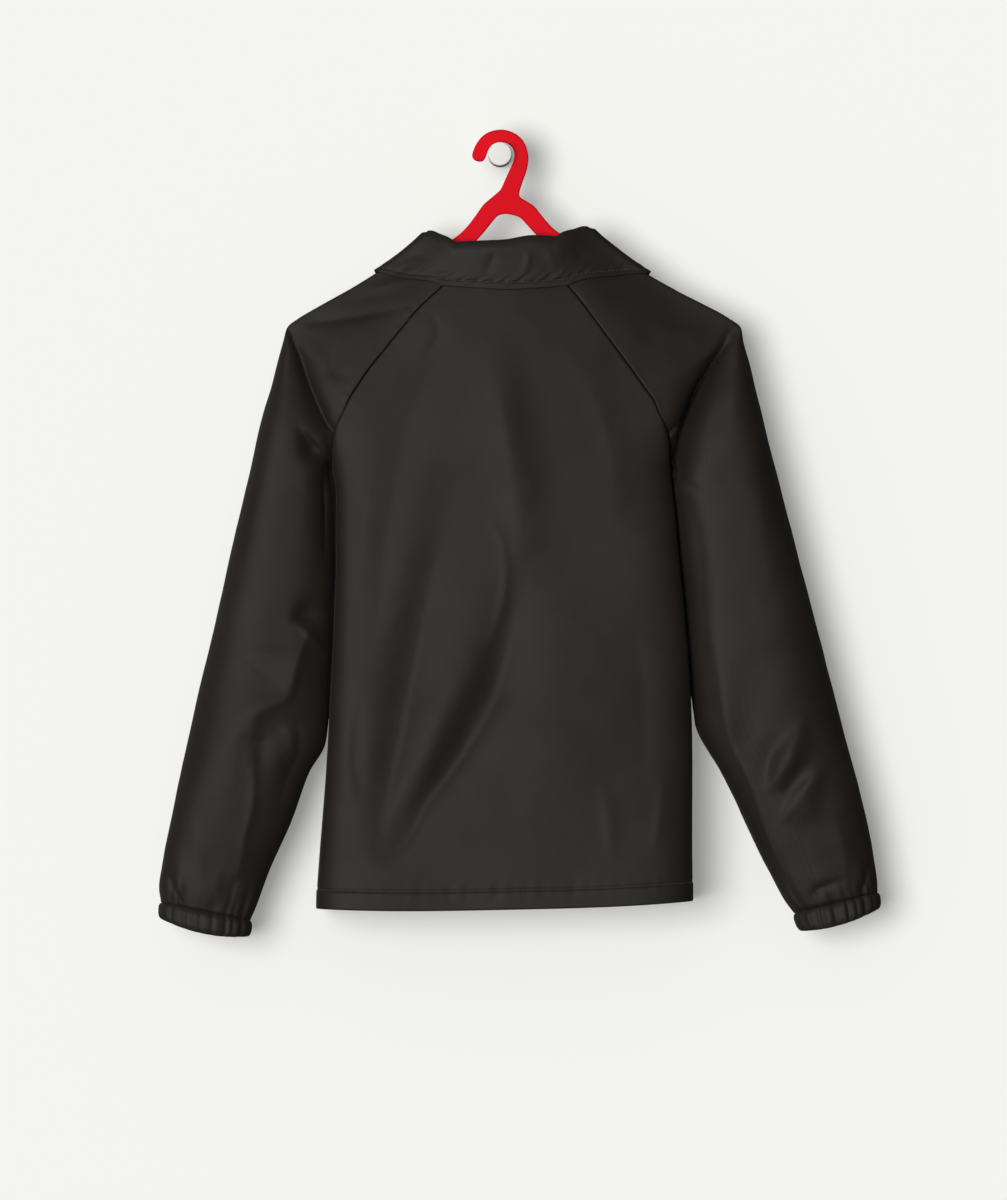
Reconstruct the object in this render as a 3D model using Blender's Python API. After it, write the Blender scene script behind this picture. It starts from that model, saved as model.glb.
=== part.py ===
"""A child's coach jacket that hangs on a flat hanger over a round wall peg, seen from behind.

The wall is the plane y = 0, and the jacket hangs in front of it, on the side of -Y. Its back
faces -Y, and +Z is up. The origin is the centre of the peg's back face. Tables and sizes are
in millimetres, and each mesh is made in metres.

The whole jacket is one smooth skin. Its rows are numbered from 0 at the neck to 12 at the
underarm. Past that the body's rows go on to 20 at the hem, and the sleeves' to 22 at the cuff.
Each cut piece is a stretch of that skin, made into a wall.
"""

import bmesh
import bpy
import numpy as np

MM = 0.001

# Driving sizes
PEG_RADIUS = 10.0
PEG_LENGTH = 66.0
HANGER_DEPTH = 52.0
HANGER_THICKNESS = 5.0
CLOTH = 1.5
HEM_CLOTH = 2.4
CASING_CLOTH = 3.0
SEAM_GAP = 0.3
MIDDLE_X = 6.0
LAP = 12.0
LAP_STEP = 1.6
UNDERARM_ROW = 12
HEM_ROW = 20
CUFF_ROW = 22

# Colours, roughness and metallic value of each material
FINISHES = {
    "nylon": ((0.018, 0.017, 0.016, 1), 0.5, 0.0),
    "snap_cap": ((0.016, 0.016, 0.016, 1), 0.3, 0.0),
    "red_plastic": ((0.78, 0.012, 0.016, 1), 0.32, 0.0),
    "pale_wood": ((0.72, 0.69, 0.62, 1), 0.6, 0.0),
}


def table(columns, *rows):
    """A table as a dictionary of its named columns."""
    return dict(zip(columns.split(), np.array(rows, float).T))


# The top of the shoulders: the height that the cloth's upper edge has at each x.
SHOULDER_LINE = table(
    "x z",
    (-181, -147.5),
    (-174.3, -141.1),
    (-160.7, -132.6),
    (-127.5, -114.6),
    (-105.7, -101.3),
    (-59.5, -72.8),
    (6, -50),
    (73.1, -69.3),
    (102, -87),
    (128.9, -103.6),
    (150.5, -115.6),
    (182.8, -132.6),
    (198, -141.1),
    (205, -148),
)

# Each sleeve by rows. Above the underarm the seam is the raglan seam and the edge is the
# shoulder line, then the sleeve's outer edge. Below it the seam column is the inner edge.
# sunk is how much of the body's depth is left at the seam, and at the fold that runs from the
# shoulder tip to the underarm. fold is where on the row that fold lies, from 0 at the seam
# to 1 at the edge. crown is the sleeve's own half depth.
SLEEVE_COLUMNS = "row seam_x seam_z edge_x edge_z sunk fold crease crown"
SLEEVES = {
    "left": table(
        SLEEVE_COLUMNS,
        (0, -38.3, -96.9, -59.5, -72.8, 1, 1, 1, 6),
        (1, -46.8, -109.7, -82.5, -86.8, 1, 1, 1, 6),
        (2, -68, -130.1, -105.7, -101.3, 1, 1, 1, 6),
        (3, -82.5, -147.1, -127.5, -114.6, 1, 1, 1, 6),
        (4, -96.9, -164.9, -151.3, -127.8, 1, 1, 1, 6),
        (5, -110.5, -181.9, -171.5, -139.5, 1, 1, 1, 6),
        (6, -118.2, -193, -181, -147.5, 1, 1, 1, 7),
        (7, -127.5, -207.4, -184.7, -159.5, 1, 0.75, 0.6, 13),
        (8, -133.5, -218.5, -190, -178.5, 0.95, 0.47, 0.62, 18),
        (9, -138.6, -228.7, -195.1, -198.9, 0.84, 0.2, 0.66, 22),
        (10, -142, -238.9, -200.6, -217.6, 0.62, 0, 0.62, 25),
        (11, -143.2, -253.3, -204.9, -235.5, 0.33, 0, 0.33, 27),
        (12, -142.8, -268.6, -209.1, -255.9, 0, 0, 0, 28),
        (13, -139.9, -295, -218.4, -294.1, 0, 0, 0, 29),
        (14, -140.2, -351.1, -228.7, -336.6, 0, 0, 0, 29),
        (15, -141.9, -396.1, -238, -379.1, 0, 0, 0, 29),
        (16, -143.8, -440.3, -247.4, -421.6, 0, 0, 0, 30),
        (17, -147.2, -497, -257.6, -464.1, 0, 0, 0, 31),
        (18, -162.4, -527, -266.9, -506.6, 0, 0, 0, 30),
        (19, -176.8, -567, -276.3, -549.1, 0, 0, 0, 27),
        (20, -195.1, -607.8, -284.8, -591.6, 0, 0, 0, 23),
        (21, -205.7, -635.8, -289.4, -621.4, 0, 0, 0, 21),
        (22, -211.7, -651.1, -288.2, -635.8, 0, 0, 0, 19),
    ),
    "right": table(
        SLEEVE_COLUMNS,
        (0, 47.6, -96.9, 73.1, -69.3, 1, 1, 1, 6),
        (1, 57, -110.5, 97.8, -84.2, 1, 1, 1, 6),
        (2, 71.4, -128.4, 123.3, -100.2, 1, 1, 1, 6),
        (3, 85, -147.1, 146.2, -113.4, 1, 1, 1, 6),
        (4, 99.5, -166.6, 170.9, -126.4, 1, 1, 1, 6),
        (5, 113.9, -186.2, 193, -138.4, 1, 1, 1, 6),
        (6, 122.4, -198.1, 205, -148, 1, 1, 1, 7),
        (7, 130.9, -210, 207.2, -159.5, 1, 0.65, 0.56, 13),
        (8, 136, -220.2, 212.5, -178.5, 0.95, 0.4, 0.55, 19),
        (9, 140.3, -229.5, 217.2, -198.9, 0.82, 0.2, 0.57, 24),
        (10, 143.7, -240.6, 221.9, -217.6, 0.5, 0, 0.5, 27),
        (11, 144.9, -254.2, 226.1, -235.5, 0.25, 0, 0.25, 29),
        (12, 145.4, -268.6, 230.8, -254.2, 0, 0, 0, 30),
        (13, 148.7, -295, 241.4, -294.1, 0, 0, 0, 31),
        (14, 154.3, -355.3, 252.5, -336.6, 0, 0, 0, 31),
        (15, 158.7, -399.5, 263.5, -379.1, 0, 0, 0, 31),
        (16, 162.2, -443.7, 274.6, -421.6, 0, 0, 0, 31),
        (17, 165.2, -482.8, 285.6, -464.1, 0, 0, 0, 31),
        (18, 187.9, -526.2, 296.7, -506.6, 0, 0, 0, 30),
        (19, 208.3, -567, 307.7, -549.1, 0, 0, 0, 27),
        (20, 227, -606.9, 317.1, -591.6, 0, 0, 0, 23),
        (21, 241.4, -633.3, 320.9, -621.4, 0, 0, 0, 21),
        (22, 249.9, -645.2, 321.3, -627.3, 0, 0, 0, 19),
    ),
}

# The casings below those last rows: the band's inner and outer edge at its lower rim, and how
# far the rim bows down between them.
CASINGS = {
    "left": {"seam": (-212.9, -665), "edge": (-289.4, -649.5), "sag": 5.5},
    "right": {"seam": (255, -660.5), "edge": (323, -641), "sag": 4.5},
}

# The body below the underarms, by rows: its side edges, and how far the middle hangs lower.
BODY = table(
    "row left_x left_z right_x right_z sag",
    (12, -142.8, -268.6, 145.4, -268.6, 0),
    (13, -139.9, -292, 148, -292, 0),
    (14, -139.9, -340, 152.5, -340, 0),
    (15, -142, -400, 158.5, -400, 1),
    (16, -144.6, -460, 162.8, -460, 2),
    (17, -148.2, -520, 164, -520, 2.5),
    (18, -152.8, -580, 164, -577, 3),
    (19, -155.4, -620, 164, -614, 3.5),
    (20, -156.4, -641, 164, -634.5, 4),
)
NECK_SAG = table(
    "row back front",
    (0, 2, 31),
    (1, 3, 24),
    (2, 2, 17),
    (4, 0, 6),
    (7, 0, 0),
    (12, 0, 0),
)

# The largest folds, as soft ridges (rise above 0) and troughs along chains of points.
FOLD_COLUMNS = "chain x z width rise"
BACK_FOLDS = table(
    FOLD_COLUMNS,
    (1, -4, -150, 16, 0),
    (1, 4, -230, 22, 3.2),
    (1, 21, -349, 20, 0.5),
    (2, -38, -260, 20, 0),
    (2, -62, -380, 26, -3.6),
    (2, -88, -520, 22, -3),
    (2, -108, -600, 18, 0),
    (3, 24, -340, 18, 0),
    (3, -4, -456, 20, -3.8),
    (3, -46, -530, 18, -4),
    (3, -104, -602, 16, 0),
    (4, -6, -400, 16, 0),
    (4, -50, -480, 18, 3),
    (4, -92, -580, 14, 0),
    (5, 62, -380, 40, 0),
    (5, 48, -500, 46, 4),
    (5, 24, -610, 34, 1),
)
FRONT_FOLDS = table(
    FOLD_COLUMNS,
    (1, -70, -170, 18, 0),
    (1, -62, -330, 24, -3),
    (1, -84, -560, 22, 0),
    (2, -100, -350, 26, 0),
    (2, -112, -480, 26, 3),
    (2, -96, -620, 20, 0),
    (3, 78, -180, 18, 0),
    (3, 84, -340, 24, -3.2),
    (3, 108, -590, 22, 0),
    (4, 52, -380, 22, 0),
    (4, 66, -520, 26, 3.2),
    (4, 60, -630, 20, 0),
)
SLEEVE_FOLDS = {
    "left": table(
        FOLD_COLUMNS,
        (1, -174, -392, 8, 0),
        (1, -163, -388, 10, -3),
        (1, -150, -382, 8, 0),
        (2, -209, -474, 8, 0),
        (2, -208, -500, 12, -4),
        (2, -212, -560, 14, -3),
        (2, -224, -610, 8, 0),
        (3, -166, -236, 7, 0),
        (3, -160, -252, 8, -4),
        (3, -148, -262, 6, 0),
    ),
    "right": table(
        FOLD_COLUMNS,
        (1, 262, -488, 10, 0),
        (1, 246, -512, 12, 3),
        (1, 228, -540, 8, 0),
        (2, 276, -508, 8, 0),
        (2, 258, -556, 10, 2.4),
        (2, 247, -570, 8, 0),
        (3, 214, -420, 18, 0),
        (3, 208, -500, 18, -3),
        (3, 236, -590, 14, 0),
    ),
}

# The collar by columns, from one front end (-1) over the back (0) to the other (1).
# rise is the roll's height above the neck seam, stand_off its distance out from the stand,
# leaf_row the skin's row that the fall's edge reaches, and spread how far that edge leans
# away from the front's middle.
COLLAR = table(
    "place rise stand_off leaf_row spread",
    (-1, 7, 3.2, 3.5, 0.12),
    (-0.9, 9, 3.6, 3.3, 0.07),
    (-0.74, 11, 4, 2.7, 0.01),
    (-0.6, 8, 3.6, 2.1, 0),
    (-0.5, 6, 3.4, 1.98, 0),
    (-0.4, 11.5, 3.8, 1.7, 0),
    (-0.3, 20.5, 4.6, 1.15, 0),
    (-0.15, 23, 5, 1.12, 0),
    (0, 24.5, 5, 1.15, 0),
    (0.15, 27.5, 5, 1.12, 0),
    (0.3, 25, 4.6, 1.1, 0),
    (0.4, 13, 3.8, 1.7, 0),
    (0.5, 6, 3.4, 2.15, 0),
    (0.6, 8, 3.6, 2.2, 0),
    (0.74, 11, 4, 2.7, 0.01),
    (0.9, 9, 3.6, 3.3, 0.07),
    (1, 7, 3.2, 3.5, 0.12),
)
COLLAR_SHOULDER_PLACES = (0.46, 0.48, 0.492, 0.5, 0.508, 0.52, 0.54)
COLLAR_END = 0.985

# The collar's section: levels up its stand, turns of its half-round roll in degrees, and steps
# down its fall. The fall lies COLLAR_CLEARANCE off the skin, parts from it towards the roll by
# LIFT_POWER, and rises to the roll by RISE_POWER.
STAND_LEVELS = (0.45, 0.8)
ROLL_TURNS = (140, 90, 40)
FALL_STEPS = 4
FINE_STEPS = 40
COLLAR_CLEARANCE = 0.9
LIFT_POWER = 1.5
RISE_POWER = 2.2
LAP_SHARE = 0.1
BACK_SHARE = 0.3
SLEEVE_SHARE = 0.7

# The hanger: centre lines and widths of its hook and its two arms.
HOOK_END_BULGE = 3.4
HANGER_COLUMNS = "x z width"
HOOK = table(
    HANGER_COLUMNS,
    (-18.4, -3.2, 12.2),
    (-16.8, 2.4, 11.8),
    (-13.8, 8.4, 11.2),
    (-8, 13.9, 10.6),
    (0.9, 15.9, 10.4),
    (10.6, 12.9, 10.6),
    (16.9, 5.6, 10.8),
    (18.4, -2.7, 11.8),
    (16.4, -11.5, 13.4),
    (11.9, -22.5, 14.5),
    (8, -33.2, 15.7),
)
LEFT_ARM = table(
    HANGER_COLUMNS,
    (-8.1, -47.2, 15.2),
    (-15.3, -57, 14.4),
    (-23.4, -67, 14),
    (-33.5, -76, 13.6),
    (-68, -92.5, 14),
    (-105.7, -112.7, 14),
    (-136, -130.9, 13.6),
    (-166, -149.9, 12.4),
)
RIGHT_ARM = table(
    HANGER_COLUMNS,
    (23, -48.5, 15.4),
    (31.9, -59.2, 14.4),
    (42, -69.6, 14),
    (85, -91.4, 14),
    (128.9, -116.1, 14),
    (170, -140.1, 13.6),
    (190, -152.3, 12.4),
)
HANGER_CROTCH = (5.6, -50.4)
HANGER_BEVEL = 1.1

# The body's half depth: EDGE_DEPTH at the shoulder line, and CHEST_FULLNESS more once it is
# well past CHEST_DROP below that line. From FULLER_FROM_Z down to the hem it grows by
# HEM_FULLNESS, slowly at first.
EDGE_DEPTH = 6.0
CHEST_FULLNESS = 27.0
CHEST_DROP = 85.0
FULLER_FROM_Z = -180.0
HEM_Z = -641.0
HEM_FULLNESS = 14.0
HEM_FULLNESS_POWER = 1.4

# Powers of the superellipses that the sections follow: 2 is an ellipse and more is boxier.
# A sleeve's side towards the body is pinched at the shoulder and rounds off by the underarm.
BODY_POWER = 6.0
SLEEVE_POWER = 2.7
SLEEVE_PINCH_POWER = 1.2
EDGE_POWER = 12.0
DIP_POWER = 2.6
ROUNDS_FROM_ROW = 9.0
TYPICAL_HALF_WIDTH = 152.0
TYPICAL_HALF_DEPTH = 44.0

# The fronts are parted over this distance from the middle line, on top of the lap.
LAP_BLEND = 40.0
FRONT_FOLD_SHARE = 0.7

# Rows of the solids above the underarm, closer together where the sleeve's fold turns sharply.
# The body and the sleeves share them, so that both sides of a raglan seam run alike.
UPPER_ROWS = (0, 1.3, 2.6, 4, 5.2, 6, 6.7, 7.3, 7.9, 8.5, 9.1, 9.7, 10.4, 11.2, 12)

# The casing's gathers, and how much fuller it is at shares of its length, down from the seam.
GATHERS = 14
GATHER_DEPTH = 0.9
CASING_START = 0.6
CASING_FULLNESS = table("down fuller", (0, 0), (0.3, 1.6), (0.7, 1.4), (1, -0.2))

SNAP_HEIGHTS = (-190, -294, -398, -502, -606)
SNAP_PROFILE = table("radius height", (7.6, 0), (7.6, 1.1), (6.4, 2.1), (3.4, 2.6), (0, 2.8))
SNAP_SIDES = 14
MIDDLE_LINE_SHARE = 0.96


def slopes_of(known, values):
    """Slopes of a smooth curve through the points that never overshoots them."""
    step = np.diff(known)
    rise = np.diff(values) / step
    slope = np.zeros(len(known))
    slope[0], slope[-1] = rise[0], rise[-1]
    same_way = rise[:-1] * rise[1:] > 0
    before = step[:-1] + 2 * step[1:]
    after = 2 * step[:-1] + step[1:]
    safe = np.where(same_way, 1, np.inf)
    mean = before / np.where(same_way, rise[:-1], safe) + after / np.where(same_way, rise[1:], safe)
    slope[1:-1] = np.where(same_way, (before + after) / np.where(same_way, mean, 1), 0)
    return slope


def along(known, values, at):
    """The value at each place, on a smooth curve through a table's rows."""
    slope = slopes_of(known, values)
    low = np.clip(np.searchsorted(known, at, side="right") - 1, 0, len(known) - 2)
    step = known[low + 1] - known[low]
    t = np.clip((at - known[low]) / step, 0, 1)
    return (
        values[low] * (1 + 2 * t) * (1 - t) ** 2
        + values[low + 1] * t**2 * (3 - 2 * t)
        + step * t * (1 - t) * (slope[low] * (1 - t) - slope[low + 1] * t)
    )


def read(source, key, column, at):
    return along(source[key], source[column], at)


def ease(t):
    """0 below 0, 1 above 1, and a smooth step between."""
    t = np.clip(t, 0, 1)
    return t * t * (3 - 2 * t)


def arch(place, power):
    """Height of a superellipse of half width and height 1 at a place from -1 to 1."""
    return (1 - np.clip(np.abs(place), 0, 1) ** power) ** (1 / power)


def fold_height(folds, x, z):
    """How far the folds lift the cloth at each point: a bell curve across each chain."""
    height = np.zeros(np.shape(x))
    for chain in np.unique(folds["chain"]):
        rows = np.flatnonzero(folds["chain"] == chain)
        best = np.zeros(np.shape(x))
        for low, high in zip(rows[:-1], rows[1:]):
            ax, az = folds["x"][low], folds["z"][low]
            bx, bz = folds["x"][high] - ax, folds["z"][high] - az
            t = np.clip(((x - ax) * bx + (z - az) * bz) / (bx * bx + bz * bz), 0, 1)
            away = np.hypot(x - ax - t * bx, z - az - t * bz)
            width = folds["width"][low] * (1 - t) + folds["width"][high] * t
            rise = folds["rise"][low] * (1 - t) + folds["rise"][high] * t
            here = rise * np.exp(-((away / width) ** 2))
            best = np.where(np.abs(here) > np.abs(best), here, best)
        height += best
    return height


def body_depth(x, z):
    """Half depth of the body at a point: thin at the shoulder line and fuller further down."""
    below = np.maximum(read(SHOULDER_LINE, "x", "z", x) - z, 0)
    lower = np.maximum(FULLER_FROM_Z - z, 0) / (FULLER_FROM_Z - HEM_Z)
    chest = CHEST_FULLNESS * (1 - np.exp(-below / CHEST_DROP))
    return EDGE_DEPTH + chest + HEM_FULLNESS * lower**HEM_FULLNESS_POWER


def round_box(t):
    """Places along a superellipse's width, from -1 to 1, that share its outline out evenly."""
    angle = np.linspace(0, np.pi, 2001)
    place = -np.sign(np.cos(angle)) * np.abs(np.cos(angle)) ** (2 / BODY_POWER)
    height = np.sin(angle) ** (2 / BODY_POWER)
    run = np.hypot(np.diff(place) * TYPICAL_HALF_WIDTH, np.diff(height) * TYPICAL_HALF_DEPTH)
    length = np.concatenate([[0], np.cumsum(run)])
    return np.interp((t + 1) / 2, length / length[-1], place)


def body_skin(row, across, face):
    """Points of the body's back (face -1) or front (face 1), across from -1 at the left seam to 1.

    Each row goes from one seam to the other. Its depth rises from the seam's own depth as
    a superellipse, and the folds are added.
    """
    row, across = np.broadcast_arrays(row, across)
    top = np.minimum(row, UNDERARM_ROW)
    low = np.maximum(row, UNDERARM_ROW)
    above = row < UNDERARM_ROW
    edge = {}
    for side in SLEEVES:
        for axis in "xz":
            upper = read(SLEEVES[side], "row", "seam_" + axis, top)
            lower = read(BODY, "row", side + "_" + axis, low)
            edge[side, axis] = np.where(above, upper, lower)
    even = 1 - ease((row - ROUNDS_FROM_ROW) / (UNDERARM_ROW - ROUNDS_FROM_ROW))
    place = even * across + (1 - even) * round_box(across)
    share = (1 + place) / 2
    middle = (edge["left", "x"] + edge["right", "x"]) / 2
    half = (edge["right", "x"] - edge["left", "x"]) / 2 - SEAM_GAP
    x = middle + half * place
    neck = read(NECK_SAG, "row", "back" if face < 0 else "front", top)
    sag = np.where(above, neck * (1 - place**2), read(BODY, "row", "sag", low) * (1 - np.abs(place) ** 3))
    z = edge["left", "z"] * (1 - share) + edge["right", "z"] * share - sag
    seam_depth = 0
    for side, part in (("left", 1 - share), ("right", share)):
        sunk = read(SLEEVES[side], "row", "sunk", top)
        seam_depth = seam_depth + part * sunk * body_depth(edge[side, "x"], edge[side, "z"])
    seam_depth = np.maximum(np.where(above, seam_depth, 0), SEAM_GAP)
    folds = BACK_FOLDS if face < 0 else FRONT_FOLDS
    depth = body_depth(x, z) + fold_height(folds, x, z)
    swell = arch(place, BODY_POWER)
    half_depth = seam_depth + (depth - seam_depth) * swell
    return np.stack([x, face * half_depth - HANGER_DEPTH, z], axis=-1)


def sleeve_skin(side, row, turn):
    """Points of a sleeve, turn going from -1 at the back seam over 0 at its edge to 1 at the front.

    Across a row the cloth first follows the body's slope, dips to the fold at the underarm,
    and then swells to the sleeve's own crown, which is a superellipse.
    """
    row, turn = np.broadcast_arrays(row, turn)
    value = {name: read(SLEEVES[side], "row", name, row) for name in SLEEVES[side] if name != "row"}
    angle = np.pi * (1 - np.abs(turn))
    spread = np.sign(np.cos(angle)) * np.abs(np.cos(angle)) ** (2 / SLEEVE_POWER)
    rounding = ease((row - ROUNDS_FROM_ROW) / (UNDERARM_ROW - ROUNDS_FROM_ROW))
    place = rounding * (1 - spread) / 2 + (1 - rounding) * np.sin(angle / 2)
    run_x = value["edge_x"] - value["seam_x"]
    run_z = value["edge_z"] - value["seam_z"]
    start = SEAM_GAP / np.hypot(run_x, run_z)
    share = start + (1 - start) * place
    x = value["seam_x"] + share * run_x
    z = value["seam_z"] + share * run_z
    fold = value["fold"]
    yoke = body_depth(x, z) * value["sunk"]
    fold_x = value["seam_x"] + fold * run_x
    fold_z = value["seam_z"] + fold * run_z
    crease = value["crease"] * body_depth(fold_x, fold_z)
    dip = np.clip(place / np.maximum(fold, 0.01), 0, 1) ** DIP_POWER
    inner = yoke * (1 - dip) + crease * dip
    t = np.clip((place - fold) / np.maximum(1 - fold, 0.01), 0, 1)
    pinched = SLEEVE_PINCH_POWER + (SLEEVE_POWER - SLEEVE_PINCH_POWER) * rounding
    swell = (1 - np.abs(2 * t - 1) ** SLEEVE_POWER) ** (1 / np.where(t < 0.5, pinched, SLEEVE_POWER))
    outer = value["crown"] * swell + crease * (1 - t) * (1 - swell)
    half_depth = np.where(place < fold, inner, outer) * arch(place, EDGE_POWER)
    folds = fold_height(SLEEVE_FOLDS[side], x, z) * np.where(turn < 0, 1, FRONT_FOLD_SHARE)
    half_depth = half_depth + swell * folds
    return np.stack([x, np.sign(turn) * half_depth - HANGER_DEPTH, z], axis=-1)


def front_skin(row, toward_middle, side):
    """Points of one front, from its seam (0) past the middle line (1) to its lapped edge.

    The left front lies over the right one, so the two are parted near the middle.
    """
    row, toward_middle = np.broadcast_arrays(row, toward_middle)
    outward = -1 if side == "left" else 1
    ends = body_skin(row, np.full(row.shape, outward * 1.0), 1)
    centre = body_skin(row, np.zeros(row.shape), 1)
    lap_share = LAP / np.abs(ends[..., 0] - centre[..., 0])
    across = outward * (1 - toward_middle * (1 + lap_share))
    points = body_skin(row, across, 1)
    near_middle = ease(1 - (np.abs(points[..., 0] - MIDDLE_X) - LAP) / LAP_BLEND)
    points[..., 1] += -outward * LAP_STEP * near_middle
    return points


def around_neck(row, place):
    """Points of the whole skin at a row, from the front's middle (-1) over the back (0) to 1."""
    row, place = np.broadcast_arrays(row, place)
    points = np.zeros(row.shape + (3,))
    size = np.abs(place)
    for side, sign in (("left", -1), ("right", 1)):
        here = (size > BACK_SHARE) & (size <= SLEEVE_SHARE) & (place * sign > 0)
        turn = 2 * (size - BACK_SHARE) / (SLEEVE_SHARE - BACK_SHARE) - 1
        points[here] = sleeve_skin(side, row, turn)[here]
    back = size <= BACK_SHARE
    points[back] = body_skin(row, place / BACK_SHARE, -1)[back]
    front = size > SLEEVE_SHARE
    across = np.sign(place) * (1 - (size - SLEEVE_SHARE) / (1 - SLEEVE_SHARE))
    points[front] = body_skin(row, across, 1)[front]
    return points


def normals_of(points, joined_from=None):
    """Unit normals of a grid of points. From the row joined_from on, its two side edges meet."""
    down = np.gradient(points, axis=0)
    across = np.gradient(points, axis=1)
    normal = np.cross(across, down)
    if joined_from is not None:
        both = normal[joined_from:, 0] + normal[joined_from:, -1]
        normal[joined_from:, 0] = both
        normal[joined_from:, -1] = both
    length = np.linalg.norm(normal, axis=-1, keepdims=True)
    return normal / np.maximum(length, 1e-9)


def new_object(name, verts, faces, finish, smooth=True):
    """A closed mesh object with its doubles merged and its faces pointing out."""
    mesh = bpy.data.meshes.new(name)
    mesh.from_pydata((np.asarray(verts) * MM).tolist(), [], faces)
    work = bmesh.new()
    work.from_mesh(mesh)
    bmesh.ops.remove_doubles(work, verts=work.verts, dist=1e-6)
    bmesh.ops.recalc_face_normals(work, faces=work.faces)
    work.to_mesh(mesh)
    work.free()
    if smooth:
        mesh.shade_smooth()
        mesh.set_sharp_from_angle(angle=np.radians(50))
    mesh.materials.append(material(finish))
    obj = bpy.data.objects.new(name, mesh)
    bpy.context.scene.collection.objects.link(obj)
    return obj


def material(finish):
    """The named material, made the first time that it is asked for."""
    if finish in bpy.data.materials:
        return bpy.data.materials[finish]
    made = bpy.data.materials.new(finish)
    made.use_nodes = True
    shader = made.node_tree.nodes["Principled BSDF"]
    colour, roughness, metallic = FINISHES[finish]
    shader.inputs["Base Color"].default_value = colour
    shader.inputs["Roughness"].default_value = roughness
    shader.inputs["Metallic"].default_value = metallic
    made.diffuse_color = colour
    return made


def wall(name, outer, thickness, inside, finish="nylon", joined_from=None, closed=False):
    """A closed wall: the outer grid, the same grid moved in along its normals, and its rims.

    inside is a point that the wall's inner face looks at, or None to leave the grid's own side.
    """
    rows, columns = outer.shape[:2]
    if closed:
        joined_from = 0
    normal = normals_of(outer, joined_from)
    if inside is not None and np.sum(normal * (outer - np.asarray(inside))) < 0:
        normal = -normal
    thickness = np.broadcast_to(np.asarray(thickness, float).reshape(-1, 1, 1), (rows, 1, 1))
    inner = outer - normal * thickness
    verts = np.concatenate([outer.reshape(-1, 3), inner.reshape(-1, 3)])
    out = np.arange(rows * columns).reshape(rows, columns)
    back = out + rows * columns
    faces = quads(out) + [face[::-1] for face in quads(back)]
    open_rows = rows if joined_from is None else joined_from + 1
    faces += strip(out[0], back[0]) + strip(back[-1], out[-1])
    if open_rows > 1:
        faces += strip(back[:open_rows, 0], out[:open_rows, 0])
        faces += strip(out[:open_rows, -1], back[:open_rows, -1])
    return new_object(name, verts, faces, finish)


def quads(index):
    corners = (index[:-1, :-1], index[:-1, 1:], index[1:, 1:], index[1:, :-1])
    return np.stack([corner.ravel() for corner in corners], axis=1).tolist()


def strip(first, second):
    return np.stack([first[:-1], second[:-1], second[1:], first[1:]], axis=1).tolist()


def body_rows(count_below):
    below = np.linspace(UNDERARM_ROW, HEM_ROW - 1, count_below)[1:]
    return np.concatenate([UPPER_ROWS, below, [HEM_ROW - 0.2, HEM_ROW]])


def cloth_of(rows):
    """The body's wall, thicker along the turned hem."""
    return np.where(rows > HEM_ROW - 0.7, HEM_CLOTH, CLOTH)


def build_body():
    rows = body_rows(11)
    back = body_skin(rows[:, None], np.linspace(-1, 1, 23)[None, :], -1)
    wall("back_panel", back, cloth_of(rows), (MIDDLE_X, -HANGER_DEPTH, -350))
    for side in ("left", "right"):
        points = front_skin(rows[:, None], np.linspace(0, 1, 13)[None, :], side)
        wall("front_" + side, points, cloth_of(rows), (MIDDLE_X, -HANGER_DEPTH, -350))


def build_sleeve(side):
    """One raglan sleeve: open along the raglan seams, and a closed tube below the underarm."""
    below = np.linspace(UNDERARM_ROW, CUFF_ROW, 16)[1:]
    rows = np.concatenate([UPPER_ROWS, below])
    turns = np.linspace(-1, 1, 25)
    points = sleeve_skin(side, rows[:, None], turns[None, :])
    centre = points.mean(axis=(0, 1))
    wall("sleeve_" + side, points, CLOTH, centre, joined_from=len(UPPER_ROWS) - 1)


def build_cuff(side):
    """The gathered casing: rings that go on from the sleeve's last row, waved all round."""
    last = sleeve_skin(side, np.array([[float(CUFF_ROW)]]), np.linspace(-1, 1, 57)[None, :])[0]
    top = {name: np.array([read(SLEEVES[side], "row", name + "_" + axis, CUFF_ROW) for axis in "xz"])
           for name in ("seam", "edge")}
    low = {name: np.array(CASINGS[side][name]) for name in ("seam", "edge")}
    width = np.linalg.norm(top["edge"] - top["seam"])
    share = np.linalg.norm(last[:, [0, 2]] - top["seam"], axis=1) / width
    bow = 4 * CASINGS[side]["sag"] * share * (1 - share)
    lengthways = (low["seam"] + low["edge"] - top["seam"] - top["edge"]) / 2
    drop = np.linalg.norm(lengthways)
    angle = np.linspace(0, 2 * np.pi, len(last))
    rings = []
    for down, fuller in zip(CASING_FULLNESS["down"], CASING_FULLNESS["fuller"]):
        down = max(down, CASING_START / drop)
        seam = top["seam"] + (low["seam"] - top["seam"]) * down
        edge = top["edge"] + (low["edge"] - top["edge"]) * down
        flat = seam + share[:, None] * (edge - seam)
        ring = np.stack([flat[:, 0], last[:, 1], flat[:, 1] - bow * down], axis=1)
        centre = ring[:-1].mean(axis=0)
        outward = ring - centre
        outward /= np.linalg.norm(outward, axis=1, keepdims=True)
        wave = GATHER_DEPTH * np.cos(GATHERS * angle)
        rings.append(ring + outward * (fuller + wave)[:, None])
    points = np.stack(rings)
    wall("cuff_" + side, points, CASING_CLOTH, points.mean(axis=(0, 1)), closed=True)


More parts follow.
